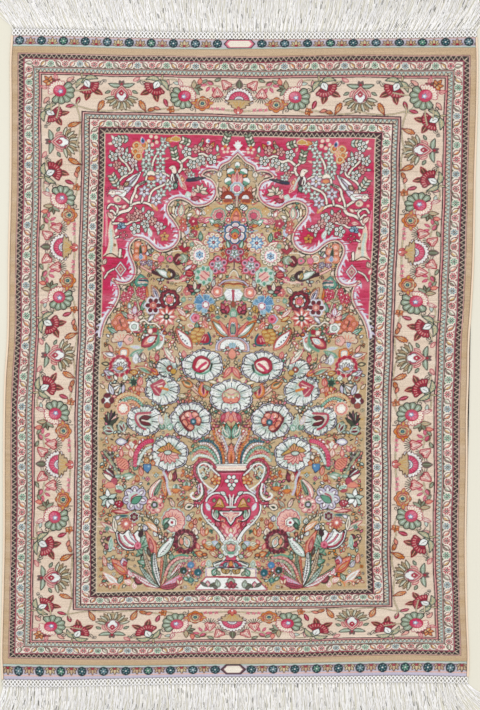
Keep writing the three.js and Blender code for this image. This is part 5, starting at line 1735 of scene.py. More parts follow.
shape(FIELD, curve([-93.5 + 41.5j, -104.5 + 41.5j, -112 + 48.5j, -114.5 + 59.5j, -108 + 56.5j,
                    -102.5 + 60.5j, -99 + 55j, -93 + 59.5j, -91 + 50.5j, -93.5 + 41.5j]), "white",
      "charcoal", 0.9)
strokes("""
    2.6 plum -112.5+57.5j -110.5+50j -104.5+44j -96.5+42.5j,
    1.6 rose -112+56j -110+50j -104+44.5j -97.5+43j, 0.9 sage -110+55j -108+50j -102.5+45.5j,
    2.4 maroon -106.5+55j -103+50j -98+46.5j, 1.2 pink -106+54.5j -103+50j -98+47j,
    0.8 charcoal -102+58.5j -100+53j -95+48j, 1.8 crimson -97.5+56j -95.5+51.5j -93+48.5j,
    1 lavender -100+56.5j -98+52j -94+48.5j""")
rosette(-93 + 45j, "5 3.2 pink rose, 3 1.6 rose -")
leaf(FIELD, -91 + 53.5j, -16, 7.0, 4.0, "plum", "charcoal")
leaves("""
    -115+59j 58 18 4.6 cream rose, -119+62j 60 10 2 sage -, -115.5+59j 8 15 4 ivory pine,
    -115.5+72j -60 5 3 lavender grey, -123+50.5j -30 5 3.6 maroon charcoal,
    -123.5+42j 12 6 3.6 crimson charcoal, -120+41.5j -2 12 3.4 sea mist, -124+60.5j 0 4 3.4 teal sage,
    -104.5+17.5j 44 21 9 salmon rust, -105.5+18.5j 52 16 3.6 orange rose,
    -125.5+26j 10 9.6 3.6 blush rust, -119+22j 34 7.6 3.4 lavender grey, -113+7j 50 19 5 white blush,
    -113+9j -34 8 4 sage moss, -106.5+25.5j 10 8 6 lavender mauve, -106+26j 4 4 3.4 rose crimson,
    -99.5+15.5j 30 6 3.4 white pink, -100.5+8.5j 70 6 3.4 pink ivory, -97+3j -4 6 3.2 pink ivory,
    -89+8j 62 9.6 7 maroon moss, -88+9j 20 6.6 4.4 sea moss, -82+5j 52 7.6 4.4 salmon rust,
    -100+31j 70 6 2 moss -, -84+27j 74 9.6 4.4 sea moss, -85+60j 20 5.6 4.4 lavender navy,
    -74+65.5j 10 6 4.6 mist charcoal, -72+58.5j 54 15.6 4.4 cream orange, -75+54j 30 5 3 white mauve,
    -83+70j 60 6 2.4 straw olive""")
strokes("""
    1 charcoal -86+80j -84+74j -80+70j -74.5+63.5j -73+57j -71.5+50j,
    0.8 olive -80.5+78j -80+72j -74+66j -70+60j -69+52j -65+48j, 1.6 brown -92+34.5j -88.5+36j -85+33.5j,
    1.4 charcoal -90+32.5j -88+36.5j -86.5+38j, 1.2 salmon -112.5+3j -112.5+6j -116+8.5j -122+7.5j,
    1.2 orange -112.5+3j -111.5+6j -109+8.5j -107.5+10.5j, 1.4 orange -71+2j -73.5+4.5j -78.5+6.5j,
    1.4 orange -70+2j -67.5+4.5j -63.5+6j, 1.2 gold -39.5+1.5j -41+4.5j -44+7j,
    1.2 gold -38.5+1.5j -36.5+4.5j -34+7.5j""")
for turn, length, dye, edge in rows_of("""
        58 38 sage moss, 62 32 white rose, 44 30 mist moss, 24 42 fawn brown, 14 34 sea pine,
        8 40 white charcoal, -2 30 salmon rust, -8 36 sage moss, -20 30 straw rust, -38 38 white crimson,
        -46 30 sage brown, -64 24 magenta rose, -58 22 lavender pink, -76 20 rose maroon"""):
    leaf(FIELD, -70.5 + 3j, turn, length, 4.2, dye, edge, 0.06 if turn < 0 else -0.06, edge)
leaves("""
    -74.5+37j 26 24 6 salmon rust, -78.5+38j 12 14 4 rose rust, -73+33j -40 25 8 mist charcoal,
    -65+18.5j -32 14 4.4 sea moss, -60+30.5j -10 6 4 sea moss, -81+34.5j 16 8.6 2.6 charcoal brown""")
for share in np.arange(6):
    dot(FIELD, -71 + 37j + share * (2.1 + 2.6j), 3.2, "white")
    dot(FIELD, -70 + 36j + share * (2.1 + 2.6j), 1.2, "charcoal")
plume([-63 + 13.5j, -58 + 23.5j, -51 + 29j, -38.5 + 30.5j], 2.4, "sage", "moss", "cream")
plume([-66 + 15.5j, -61 + 25.5j, -52.5 + 32j, -41 + 33j], 1.8, "blush", "rose", "rose")
strokes("""
    2 sea -57+33.5j -50+35.5j -43+34.5j, 1 olive -61+34.5j -56+39.5j -52+42.5j""")
for spot, radius, dye in ((-47.5 + 20j, 3.4, "pine"), (-40 + 25.5j, 3.2, "blue"),
                          (-33 + 18j, 3.6, "teal")):
    rays(spot, 10, 350, 10, radius, radius + 2.2, 0.9, "rose")
    round_petals(spot, 5, 3.4, 2.4, 2.2, "blush", "rose", 14, 0.4)
    shape(FIELD.at(spot), oval(2 * radius, 2 * radius), dye, "grey", 0.5)
    dot(FIELD, spot + 0.4 - 0.8j, 1.7, "sky")
leaves("""
    -29+24.5j -34 6 3 rose salmon, -40+7.5j 8 6 6.4 teal sage, -43.5+10.5j 60 5 3 sea moss,
    -52.5+6.5j 20 5 2 cream rust, -51.5+6.5j -30 5 2 cream rust, -27+54.5j 16 9 4 salmon rust,
    -25+55.5j -14 7 3 orange rust, -28+46.5j -30 5 3 salmon rose, -18+41.5j 66 11 4.4 orange rust,
    -32+41.5j 20 6 3 salmon rose, -28+35.5j 70 7.6 5 orange rust, -24+35.5j 84 5 3 rust brown,
    -15+35j 60 7 3.6 straw rust, -13+45.5j 60 6 4 lavender sky, -13.5+41.5j -10 5.6 4 sage moss,
    -19+46.5j 80 6 3.4 ivory sage, -12+33j -60 5 3.6 mist moss, -22+24j 0 6 4 sage mist""")
print("field drawn")

# %% [markdown]
# ### Filling work
#
# Weavers leave no ground empty. Wherever a spot of plain ground is wide enough a small sprout, hook
# or floret goes in, first the larger ones and then the small ones between them.

# %% Filling work
PLAIN = [DYE_NUMBER[dye] for dye in ("sand", "straw", "fawn", "tan", "gold", "blush", "cream")]


def is_bare(spot, reach):
    """Whether nothing but the field's own ground lies within reach of a spot."""
    rows = sample_rows(spot.imag - reach, spot.imag + reach)
    columns = sample_columns(-spot.real - reach, -spot.real + reach)
    return np.isin(sheet[rows[0]:rows[1], columns[0]:columns[1]], PLAIN).all()


def sprout(place, ink, dye):
    """A bent stalk with a leaf at its tip and one on each side."""
    line(place, curve([-4.5j, 0.9 - 1j, 1.5j]), 0.6, ink)
    for turn, rise in ((0, 0.8), (64, -1.6), (-58, -2.6)):
        leaf(place, 1j * rise + 0.5, turn, 3.6, 2.0, dye, ink)


def hook(place, ink, dye):
    """A stroke that bends over, with a bud at its end."""
    line(place, curve([-3 - 2j, -1.5 + 1.5j, 1 + 1.6j, 2.2 - 0.6j]), 0.8, ink)
    shape(place.at(2.2 - 1.4j), oval(1.9, 2.2), dye, ink, 0.4)


def floret(place, ink, dye):
    """Four round petals."""
    for number in range(4):
        shape(place.at(1.5 * 1j ** number), oval(2.0, 2.0), dye, ink, 0.4)


for reach, tries in ((4.2, 1500), (3.0, 2600), (2.2, 4000), (1.5, 5000)):
    for spot in random.random((tries, 2)) * [129, 444] + [2, 3]:
        spot = 1j * spot[1] - spot[0]
        kind, ink, dye = random.integers(3), random.integers(len(INKS)), random.integers(len(FILLS))
        turn = random.uniform(0, 360)
        if is_bare(spot, reach):
            here = FIELD.at(spot, min(reach / 3.2, 1.15), turn)
            (sprout, hook, floret)[kind](here, INKS[ink], FILLS[dye])
print("ground filled")

# %% [markdown]
# ## How the cloth lies
#
# Warps drift apart and wefts beat down unevenly, so a woven rectangle leans and wavers. The tables
# give the real places, in millimetres, of the lines that a weaver counts from: the two sides, the
# edges of the field and its middle by height, and the ends and edges of pile and field by width.

# %% Guide lines of the cloth
UPRIGHTS = [  # height, left side, field's left, middle, field's right, right side
    (-422, -312.2, -188.6, -7.5, 168.3, 300.6),
    (-390, -313.3, -188.6, -8.5, 168.3, 301.2),
    (-330, -312.0, -187.7, -10.1, 167.7, 298.9),
    (-240, -310.1, -186.4, -11.1, 164.9, 297.5),
    (-135, -310.1, -185.4, -10.9, 164.7, 299.1),
    (-80, -309.8, -184.4, -10.7, 165.1, 299.1),
    (-30, -308.6, -183.0, -10.5, 166.1, 300.6),
    (25, -305.0, -181.4, -9.4, 168.3, 301.8),
    (75, -304.1, -180.4, -8.1, 170.3, 305.2),
    (130, -303.7, -179.1, -6.6, 172.7, 307.8),
    (235, -301.4, -176.8, -3.4, 176.2, 309.8),
    (340, -301.0, -174.9, -0.7, 179.5, 312.7),
    (390, -301.2, -174.9, -0.4, 180.1, 313.2),
    (422, -299.3, -174.2, -0.3, 180.1, 312.2),
]
LEVELS = [  # width, low end, pile's low edge, field's low edge, field's high, pile's high, high end
    (-312, -421.2, -400.6, -307.0, 298.6, 408.5, 422.9),
    (-235, -421.8, -402.2, -306.4, 296.6, 408.3, 421.8),
    (-143, -419.6, -402.8, -305.6, 294.1, 405.5, 419.5),
    (-52, -417.9, -401.3, -304.8, 291.6, 404.4, 417.9),
    (53, -417.4, -400.5, -304.0, 289.2, 405.1, 417.6),
    (145, -416.6, -398.2, -303.2, 287.6, 406.4, 418.4),
    (223, -415.8, -396.9, -302.6, 286.2, 406.8, 418.9),
    (302, -417.6, -397.6, -301.9, 284.7, 406.9, 420.5),
]
CORD_WIDTH = 2.9
SEAM_GAP = 0.3
PLAN_ROUNDS = 5
WAVER_FADE = 12.0
UPRIGHTS = np.array(UPRIGHTS)
LEVELS = np.array(LEVELS)


def through(table, column, at):
    """A smooth curve through one column of a table against its first: cubic pieces whose slope at
    each row is that of the line between its neighbours."""
    known, value = table[:, 0], table[:, column]
    before = np.maximum(np.arange(len(known)) - 1, 0)
    after = np.minimum(np.arange(len(known)) + 1, len(known) - 1)
    slope = (value[after] - value[before]) / (known[after] - known[before])
    i = np.clip(np.searchsorted(known, at) - 1, 0, len(known) - 2)
    run = known[i + 1] - known[i]
    k = np.clip((at - known[i]) / run, 0, 1)
    bend = (2 * k ** 3 - 3 * k ** 2 + 1) * value[i] + (3 * k ** 2 - 2 * k ** 3) * value[i + 1]
    return bend + (k ** 3 - 2 * k ** 2 + k) * run * slope[i] + (k ** 3 - k ** 2) * run * slope[i + 1]


CLOTH_HALF = FIELD_HALF + BORDER
CORD_SQUARES = 2.4
PILE_HALF = CLOTH_HALF - CORD_SQUARES
ACROSS_MARKS = np.array([-CLOTH_HALF, -PILE_HALF, -FIELD_HALF, 0, FIELD_HALF, PILE_HALF, CLOTH_HALF])
UP_MARKS = np.array([SHEET_LOW, -BORDER, 0, FIELD_TALL, FIELD_TALL + BORDER, SHEET_HIGH])


def between(marks, lines, at):
    """Reads off evenly between guide lines: at lies between two of the marks, and the answer lies
    as far between the two lines that belong to them."""
    at = np.broadcast_to(at, lines.shape[1:])
    i = np.clip(np.searchsorted(marks, at) - 1, 0, len(marks) - 2)
    share = (at - marks[i]) / (marks[i + 1] - marks[i])
    low = np.take_along_axis(lines, i[None], 0)[0]
    high = np.take_along_axis(lines, i[None] + 1, 0)[0]
    return low + share * (high - low)


def uprights_at(y):
    """The lines that run up the cloth, at a height: the sides, the pile beside the cords, and so on."""
    left, field_left, middle, field_right, right = (through(UPRIGHTS, column, y)
                                                    for column in range(1, 6))
    cord = CORD_WIDTH + SEAM_GAP
    return np.array([left, left + cord, field_left, middle, field_right, right - cord, right])


def plan(u, v):
    """Where points of the cartoon lie on the floor, in millimetres. The place across depends on the
    height and the height on the place across, so each is found from the other a few times."""
    x, y = u * SQUARE, (v - FIELD_TALL / 2) * SQUARE
    for _ in range(PLAN_ROUNDS):
        x = between(ACROSS_MARKS, uprights_at(y), u)
        y = between(UP_MARKS, np.array([through(LEVELS, column, x) for column in range(1, 7)]), v)
    return x, y


def waver(u, v):
    """The weaver's small unevenness: slow waves of under a square that die out at the pile's edge."""
    from_ends = np.minimum(v + BORDER, FIELD_TALL + BORDER - v)
    edge = np.clip(np.minimum(PILE_HALF - abs(u), from_ends) / WAVER_FADE, 0, 1)
    side = 0.34 * np.sin(v / 23 + 1.3 * np.sin(u / 61)) + 0.22 * np.sin(v / 9.1 + u / 37)
    rise = 0.42 * np.sin(u / 27 + 1.1 * np.sin(v / 73)) + 0.26 * np.sin(u / 11.3 - v / 41)
    return u + edge * side, v + edge * rise


def rim_points(count=400):
    """Cartoon points all round the edge of the cloth inside its cords."""
    share = np.linspace(-1, 1, count)
    middle, reach = (SHEET_HIGH + SHEET_LOW) / 2, (SHEET_HIGH - SHEET_LOW) / 2
    still, across, up = 0 * share, share * PILE_HALF, middle + share * reach
    u = np.concatenate([across, across, still - PILE_HALF, still + PILE_HALF])
    v = np.concatenate([still + SHEET_LOW, still + SHEET_HIGH, up, up])
    return u, v


rim_x, rim_y = plan(*rim_points())
carpet_low, carpet_high = (np.array(corner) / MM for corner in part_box("carpet"))
SHIFT_X = (carpet_low[0] + carpet_high[0] - rim_x.min() - rim_x.max()) / 2
SHIFT_Y = (carpet_low[1] + carpet_high[1] - rim_y.min() - rim_y.max()) / 2
print("tables to frame, mm:", round(SHIFT_X, 2), round(SHIFT_Y, 2))
print("cloth by the tables, mm:", round(np.ptp(rim_x), 1), "by", round(np.ptp(rim_y), 1))


def cloth_point(u, v, height):
    """Points in metres for points of the cartoon at a height in millimetres, as rows of x, y, z."""
    x, y = plan(u, v)
    return np.stack([x + SHIFT_X, y + SHIFT_Y, np.broadcast_to(height, x.shape)], -1) * MM


# %% [markdown]
# ## From cartoon to knots
#
# The finished sheet is read square by square. A mesh could have one face for each real knot, but
# half a million knots are too many, so a face is 1.05 squares and each of its four corners has a
# colour of its own, the mean of the quarter of the face next to it. That shows details half as
# wide as a face, which is about as fine as the knots are.

# %% Reading the cartoon


def dyes_at(u, v):
    """Linear dye colours at points of the cartoon: distance from the middle line, then a look-up."""
    column = np.clip(np.abs(u) * SAMPLES, 0, SHEET_COLUMNS - 1).astype(int)
    row = np.clip((v - SHEET_LOW) * SAMPLES, 0, SHEET_ROWS - 1).astype(int)
    return DYE_VALUES[sheet[row, column]]


def quarter_dyes(u_lines, v_lines):
    """The mean dye of each quarter of each face between grid lines: rows, columns, 4 corners, rgb.
    Each quarter is read at four spots, and the waver moves them as it moves the knots."""
    wide, tall = np.diff(u_lines), np.diff(v_lines)
    corners = []
    for right, up in ((0.25, 0.25), (0.75, 0.25), (0.75, 0.75), (0.25, 0.75)):
        total = 0
        for side, rise in ((-0.125, -0.125), (0.125, -0.125), (-0.125, 0.125), (0.125, 0.125)):
            u = u_lines[:-1] + (right + side) * wide
            v = v_lines[:-1] + (up + rise) * tall
            total = total + dyes_at(*waver(u[None, :], v[:, None]))
        corners.append(total / 4)
    return np.stack(corners, 2)


def quarter_points(u_lines, v_lines):
    """The grid's own corners of each face, in millimetres of cartoon, for the weave to follow."""
    u, v = np.meshgrid(u_lines * SQUARE, v_lines * SQUARE)
    both = np.stack([u, v], -1)
    return np.stack([both[:-1, :-1], both[:-1, 1:], both[1:, 1:], both[1:, :-1]], 2)


# %% A skin over a flat block


def mesh_of(name, points, faces, sizes):
    """A mesh from arrays: all points, the faces' points one after another, and each face's count."""
    mesh = bpy.data.meshes.new(name)
    mesh.vertices.add(len(points))
    mesh.vertices.foreach_set("co", np.ascontiguousarray(points, np.float32).ravel())
    mesh.loops.add(len(faces))
    mesh.loops.foreach_set("vertex_index", faces.astype(np.int32))
    mesh.polygons.add(len(sizes))
    starts = np.concatenate([[0], np.cumsum(sizes)[:-1]])
    mesh.polygons.foreach_set("loop_start", starts.astype(np.int32))
    mesh.update(calc_edges=True)
    mesh.validate()
    piece = bpy.data.objects.new(name, mesh)
    bpy.context.scene.collection.objects.link(piece)
    return piece


def colour_corners(piece, colours):
    """Puts a linear colour on every corner of the piece's faces, as the attribute that materials read."""
    attribute = piece.data.color_attributes.new("dye", "FLOAT_COLOR", "CORNER")
    flat = np.concatenate([colours, np.ones((len(colours), 1))], axis=1)
    attribute.data.foreach_set("color", flat.astype(np.float32).ravel())


def map_corners(piece, name, flat):
    """Adds a UV map with a pair of numbers for every corner."""
    layer = piece.data.uv_layers.new(name=name)
    layer.uv.foreach_set("vector", flat.astype(np.float32).ravel())


BACK_SHARE = 0.02
JUST_INSIDE = 0.3


def skin_block(name, u_lines, v_lines, grid, flat_height, upward=True):
    """A closed body with a fine skin and a flat back. The skin is a grid of points; the back has
    only the skin's rim, moved to flat_height: long strips join its low edge to its high one, and
    a band of walls joins rim to rim. A body that faces down has all its faces turned over."""
    rows, columns = grid.shape[:2]
    number = np.arange(rows * columns).reshape(rows, columns)
    quads = [number[:-1, :-1], number[:-1, 1:], number[1:, 1:], number[1:, :-1]]
    quads = np.stack(quads, 2).reshape(-1, 4)
    rim = np.concatenate([number[0, :-1], number[:-1, -1], number[-1, :0:-1], number[:0:-1, 0]])
    count = rows * columns
    flat = np.arange(len(rim)) + count
    walls = np.stack([flat, np.roll(flat, -1), np.roll(rim, -1), rim], 1)
    low = flat[:columns]
    right = flat[columns - 1:columns + rows - 1]
    high = flat[columns + rows - 2:2 * columns + rows - 2][::-1]
    left = np.append(flat[2 * columns + rows - 3:], flat[0])
    strips = np.stack([low[1:-2], high[1:-2], high[2:-1], low[2:-1]], 1)
    left_end = np.concatenate([[low[1]], left[::-1], [high[1]]])
    right_end = np.concatenate([right[::-1], [low[-2], high[-2]]])
    faces = [quads, walls, strips, left_end[None], right_end[None]]
    if not upward:
        faces = [group[:, ::-1] for group in faces]
    points = grid.reshape(-1, 3)
    below = points[rim].copy()
    below[:, 2] = flat_height * MM
    sizes = np.concatenate([np.full(len(group), group.shape[1]) for group in faces])
    piece = mesh_of(name, np.concatenate([points, below]),
                    np.concatenate([group.ravel() for group in faces]), sizes)
    crisp = piece.data.attributes.new("sharp_face", "BOOLEAN", "FACE")
    crisp.data.foreach_set("value", np.arange(len(sizes)) >= len(quads))

    dyes = quarter_dyes(u_lines, v_lines).reshape(-1, 4, 3)
    knots = quarter_points(u_lines, v_lines).reshape(-1, 4, 2)
    if not upward:
        dyes, knots = dyes[:, ::-1], knots[:, ::-1]
    u, v = np.meshgrid(u_lines, v_lines)
    rim_uv = np.stack([u.ravel()[rim], v.ravel()[rim]], 1)
    loops = np.concatenate([group.ravel() for group in faces[1:]])
    place_in_rim = np.arange(count + len(rim)) - count
    place_in_rim[rim] = np.arange(len(rim))
    around = rim_uv[place_in_rim[loops]]
    heights = np.clip(around[:, 1], v_lines[0] + JUST_INSIDE, v_lines[-1] - JUST_INSIDE)
    other = dyes_at(around[:, 0] * 0.999, heights)
    colour_corners(piece, np.concatenate([dyes.reshape(-1, 3), other]))

    def to_unit(flat_uv):
        """Cartoon points as shares of this block's width and height."""
        low_uv = np.array([u_lines[0], v_lines[0]])
        return (flat_uv - low_uv) / (np.array([u_lines[-1], v_lines[-1]]) - low_uv)

    skin = to_unit(knots.reshape(-1, 2) / SQUARE) * [1, 1 - 2 * BACK_SHARE] + [0, 2 * BACK_SHARE]
    back = to_unit(around) * [1, BACK_SHARE]
    map_corners(piece, "OFBake", np.concatenate([skin, back]))
    map_corners(piece, "Knots", np.concatenate([knots.reshape(-1, 2), around * SQUARE]))
    return piece


# %% [markdown]
# ## The ground weave
#
# Under the pile is a plain weave of warp and weft, and on its underside every knot shows its back
# as a small bead of its own dye, so the design can be read there too, a little dimmer. The sheet
# below carries that underside. Its flat upper side is what the pile and the woven ends lie on.

# %% The ground weave
GROUND_TOP = 1.0
GROUND_CELL = 2.1
ground_u = np.linspace(-PILE_HALF, PILE_HALF, int(2 * PILE_HALF / GROUND_CELL) + 1)
ground_v = np.linspace(SHEET_LOW, SHEET_HIGH, int((SHEET_HIGH - SHEET_LOW) / GROUND_CELL) + 1)
ground_grid = cloth_point(*np.meshgrid(ground_u, ground_v), 0.0)
ground = skin_block("ground_weave", ground_u, ground_v, ground_grid, GROUND_TOP, upward=False)
print("ground weave:", len(ground.data.polygons), "faces")

# %% [markdown]
# ## The pile
#
# Sheared pile is level but never quite flat: every tuft ends a little higher or lower than the
# next, the cloth keeps slow swells from the loom, and the pile rolls over at its edge. The height
# is a formula of the place on the cloth: full height, less a quarter circle's worth of shoulder
# near the edge, plus two slow waves, plus a little scatter for each tuft.
#
# One mesh of the whole pile would be too heavy to pass on, so it is five bands of rows that meet
# point to point.

# %% The pile
PILE_TOP = 3.0
SHOULDER_DROP = 0.6
SHOULDER_RUN = 1.6
PILE_CELL = 1.05
PILE_BANDS = 5
PILE_CLEAR = 0.02
TUFT_SCATTER = 0.035
SWELL_RUN = 6.0
pile_u = np.linspace(-PILE_HALF, PILE_HALF, int(2 * PILE_HALF / PILE_CELL) + 1)
pile_rows = int((FIELD_TALL + 2 * BORDER) / PILE_CELL / PILE_BANDS) * PILE_BANDS
pile_v = np.linspace(-BORDER, FIELD_TALL + BORDER, pile_rows + 1)


def pile_height(u, v):
    """Millimetres above the floor."""
    from_ends = np.minimum(v + BORDER, FIELD_TALL + BORDER - v)
    edge = np.minimum(PILE_HALF - np.abs(u), from_ends) * SQUARE
    shoulder = SHOULDER_DROP * np.clip(1 - edge / SHOULDER_RUN, 0, 1) ** 2
    swell = 0.10 * np.sin(u / 31 + np.sin(v / 47)) + 0.08 * np.sin(v / 19 + 1.7 * np.sin(u / 83))
    tufts = random.normal(0, TUFT_SCATTER, np.broadcast(u, v).shape)
    return PILE_TOP - shoulder + np.clip(edge / SWELL_RUN, 0, 1) * (swell + tufts)


pile_u_grid, pile_v_grid = np.meshgrid(pile_u, pile_v)
pile_grid = cloth_point(pile_u_grid, pile_v_grid, pile_height(pile_u_grid, pile_v_grid))
pile_pieces = []
rows_each = pile_rows // PILE_BANDS
for band in range(PILE_BANDS):
    rows = slice(band * rows_each, (band + 1) * rows_each + 1)
    piece = skin_block(f"pile_band_{band + 1}", pile_u, pile_v[rows], pile_grid[rows],
                       GROUND_TOP + PILE_CLEAR)
    pile_pieces.append(piece)
print("pile:", sum(len(piece.data.polygons) for piece in pile_pieces), "faces in", PILE_BANDS, "bands")

# %% [markdown]
# ## The woven ends
#
# Before the first knot and after the last the weaver weaves a narrow band flat, with its pattern
# wrapped on the warps. It is thin and ribbed, and it is the whitest part of the cloth.

# %% The woven ends
WOVEN_TOP = 1.3
WOVEN_ROWS = 14
THREAD_SCATTER = 0.02
woven_pieces = []
for name, first, last in (("woven_end_low", SHEET_LOW, -BORDER),
                          ("woven_end_high", FIELD_TALL + BORDER, SHEET_HIGH)):
    rows = np.linspace(first, last, WOVEN_ROWS + 1)
    u_grid, v_grid = np.meshgrid(pile_u, rows)
    thread = random.normal(0, THREAD_SCATTER, u_grid.shape)
    piece = skin_block(name, pile_u, rows, cloth_point(u_grid, v_grid, WOVEN_TOP + thread),
                       GROUND_TOP + PILE_CLEAR)
    woven_pieces.append(piece)
print("woven ends:", [piece.name for piece in woven_pieces])

# %% [markdown]
# ## The side cords
#
# The outermost warps are bundled and wrapped over and over with silk, which guards the edge. The
# wraps lie slantwise, so the cord is a tube whose radius rises and falls along a helix: a wave of
# the distance along less the angle round.

# %% The side cords
CORD_HEIGHT = 2.6
WRAP = 3.0
CORD_SIDES = 10
CORD_STEPS_PER_WRAP = 4
CORD_SWELL = 0.055
CORD_FILL = 0.97


def tubes(rings):
    """Closed tubes from rings of points: tube, ring, point round the ring, xyz. Each ring joins the
    next, and the first and last are closed by a flat face. Rings turn from the side towards the top."""
    count, steps, sides = rings.shape[:3]
    number = np.arange(count * steps * sides).reshape(count, steps, sides)
    beside = np.roll(number, -1, axis=2)
    walls = np.stack([number[:, :-1], number[:, 1:], beside[:, 1:], beside[:, :-1]], -1).reshape(-1, 4)
    sizes = np.concatenate([np.full(len(walls), 4), np.full(2 * count, sides)])
    faces = np.concatenate([walls.ravel(), number[:, 0].ravel(), number[:, -1, ::-1].ravel()])
    return rings.reshape(-1, 3), faces, sizes


def cord(name, side):
    """A tube that follows one side of the cloth, flat on the floor below, with slanting wraps."""
    steps = int((SHEET_HIGH - SHEET_LOW) * SQUARE / WRAP * CORD_STEPS_PER_WRAP)
    v = np.linspace(SHEET_LOW, SHEET_HIGH, steps + 1)[:, None]
    angle = (np.arange(CORD_SIDES) + 0.5) / CORD_SIDES * 2 * np.pi
    along = v * SQUARE
    swell = 1 + CORD_SWELL * np.cos(2 * np.pi * along / WRAP - side * angle)
    middle = cloth_point(np.full((steps + 1, 1), side * CLOTH_HALF), v, CORD_HEIGHT / 2) / MM
    x = middle[..., 0] - side * CORD_WIDTH / 2 + CORD_WIDTH / 2 * CORD_FILL * swell * np.cos(angle)
    z = np.maximum(CORD_HEIGHT / 2 * (1 + CORD_FILL * swell * np.sin(angle)), 0.0)
    y = np.broadcast_to(middle[..., 1], x.shape)
    return mesh_of(name, *tubes(np.stack([x, y, z], -1)[None] * MM))


cords = [cord("side_cord_left", -1), cord("side_cord_right", 1)]
print("cords:", [len(piece.data.polygons) for piece in cords])

# %% [markdown]
# ## Nets and fringes
#
# The cut warps at each end are knotted twice or three times into an open net, and below it they
# hang free as a fringe. Each net yarn swings from side to side and meets its neighbour on the left
# and on the right in turn, which leaves the small lozenges that show dark. From each last knot
# hangs a bunch of fine yarns; they fan out as the rug was put down, so their lean changes along
# the end. A yarn's path is a walk: each step goes a little further in the direction that its lean
# has there. The tables give the lean in degrees to the right, where the yarns leave the net and at
# their tips, by the share of the way along the end.

# %% How the fringes lie
LIE_HIGH = [  # share, lean at the root, lean at the tip
    (0.0, -30, -46),
    (0.06, -30, -24),
    (0.2, -24, -10),
    (0.38, -12, -3),
    (0.55, 4, 3),
    (0.72, 22, 7),
    (0.88, 34, 12),
    (0.96, 32, 22),
    (1.0, 34, 44),
]
LIE_LOW = [
    (0.0, -8, -38),
    (0.08, 4, -34),
    (0.22, 4, -26),
    (0.4, 2, -10),
    (0.6, 2, 0),
    (0.8, 6, 6),
    (0.92, 8, 16),
    (0.965, 16, 36),
    (1.0, 44, 84),
]
NET_DEPTH = 9.0
NET_YARNS = 250
NET_ROWS = 3
NET_STEPS = 9
NET_SIDES = 6
NET_YARN = 0.9
NET_WIDTH = 626.0
NET_SWING = 0.72
NET_HEIGHT = 1.3
NET_KNOT = 0.2
BUNCHES = 125
BUNCH_YARNS = 9
BUNCH_HALF = 1.5
BUNCH_LEAN = 4.2
YARN_LEAN = 6.5
YARN_WAVE = 10
YARN_LENGTH = 66.0
YARN_STEPS = 10
YARN = 0.40
YARN_TUCK = 1.0
YARN_SIDES = 3
LAYER_RISE = 1.15
ROOT_RISE = 0.8


def round_rings(paths, radius, sides):
    """Rings of points round paths: the sideways step is square to the path and level, and the ring
    goes from it up and over. Paths are yarn, step, xyz in millimetres."""
    ahead = np.gradient(paths, axis=1)
    ahead = ahead / np.linalg.norm(ahead, axis=2, keepdims=True)
    up = np.array([0, 0, 1.0])
    side = np.cross(ahead, up)
    side = side / np.linalg.norm(side, axis=2, keepdims=True)
    angle = np.arange(sides) / sides * 2 * np.pi + 0.4
    radius = np.broadcast_to(radius, paths.shape[:2])[..., None, None]
    turned = side[:, :, None] * np.cos(angle)[:, None] + up * np.sin(angle)[:, None]
    return paths[:, :, None] + radius * turned


def end_line(share, out):
    """Where the cloth ends, at a share of its width from left to right, in millimetres."""
    u = (2 * share - 1) * (CLOTH_HALF - 1)
    level = SHEET_HIGH if out > 0 else SHEET_LOW
    return cloth_point(u, np.full_like(u, level), 0) / MM


def net_paths(out):
    """Yarns that swing as a cosine of the depth, each half a wave ahead of the one beside it."""
    number = np.arange(NET_YARNS)
    start = end_line((number + 0.5) / NET_YARNS, out)
    depth = np.linspace(0, 1, NET_STEPS + 1)
    swing = 0.5 * NET_WIDTH / NET_YARNS * NET_SWING * np.cos(np.pi * (NET_ROWS * depth + number[:, None]))
    x = start[:, :1] + swing
    y = start[:, 1:2] + out * (SEAM_GAP + depth * NET_DEPTH)
    z = NET_HEIGHT + 0.08 * np.sin(np.pi * NET_ROWS * depth + 2.0 * number[:, None])
    radius = NET_YARN + NET_KNOT * np.abs(np.cos(np.pi * NET_ROWS * depth)) ** 3 + 0 * number[:, None]
    return np.stack([x, y, z], -1), radius


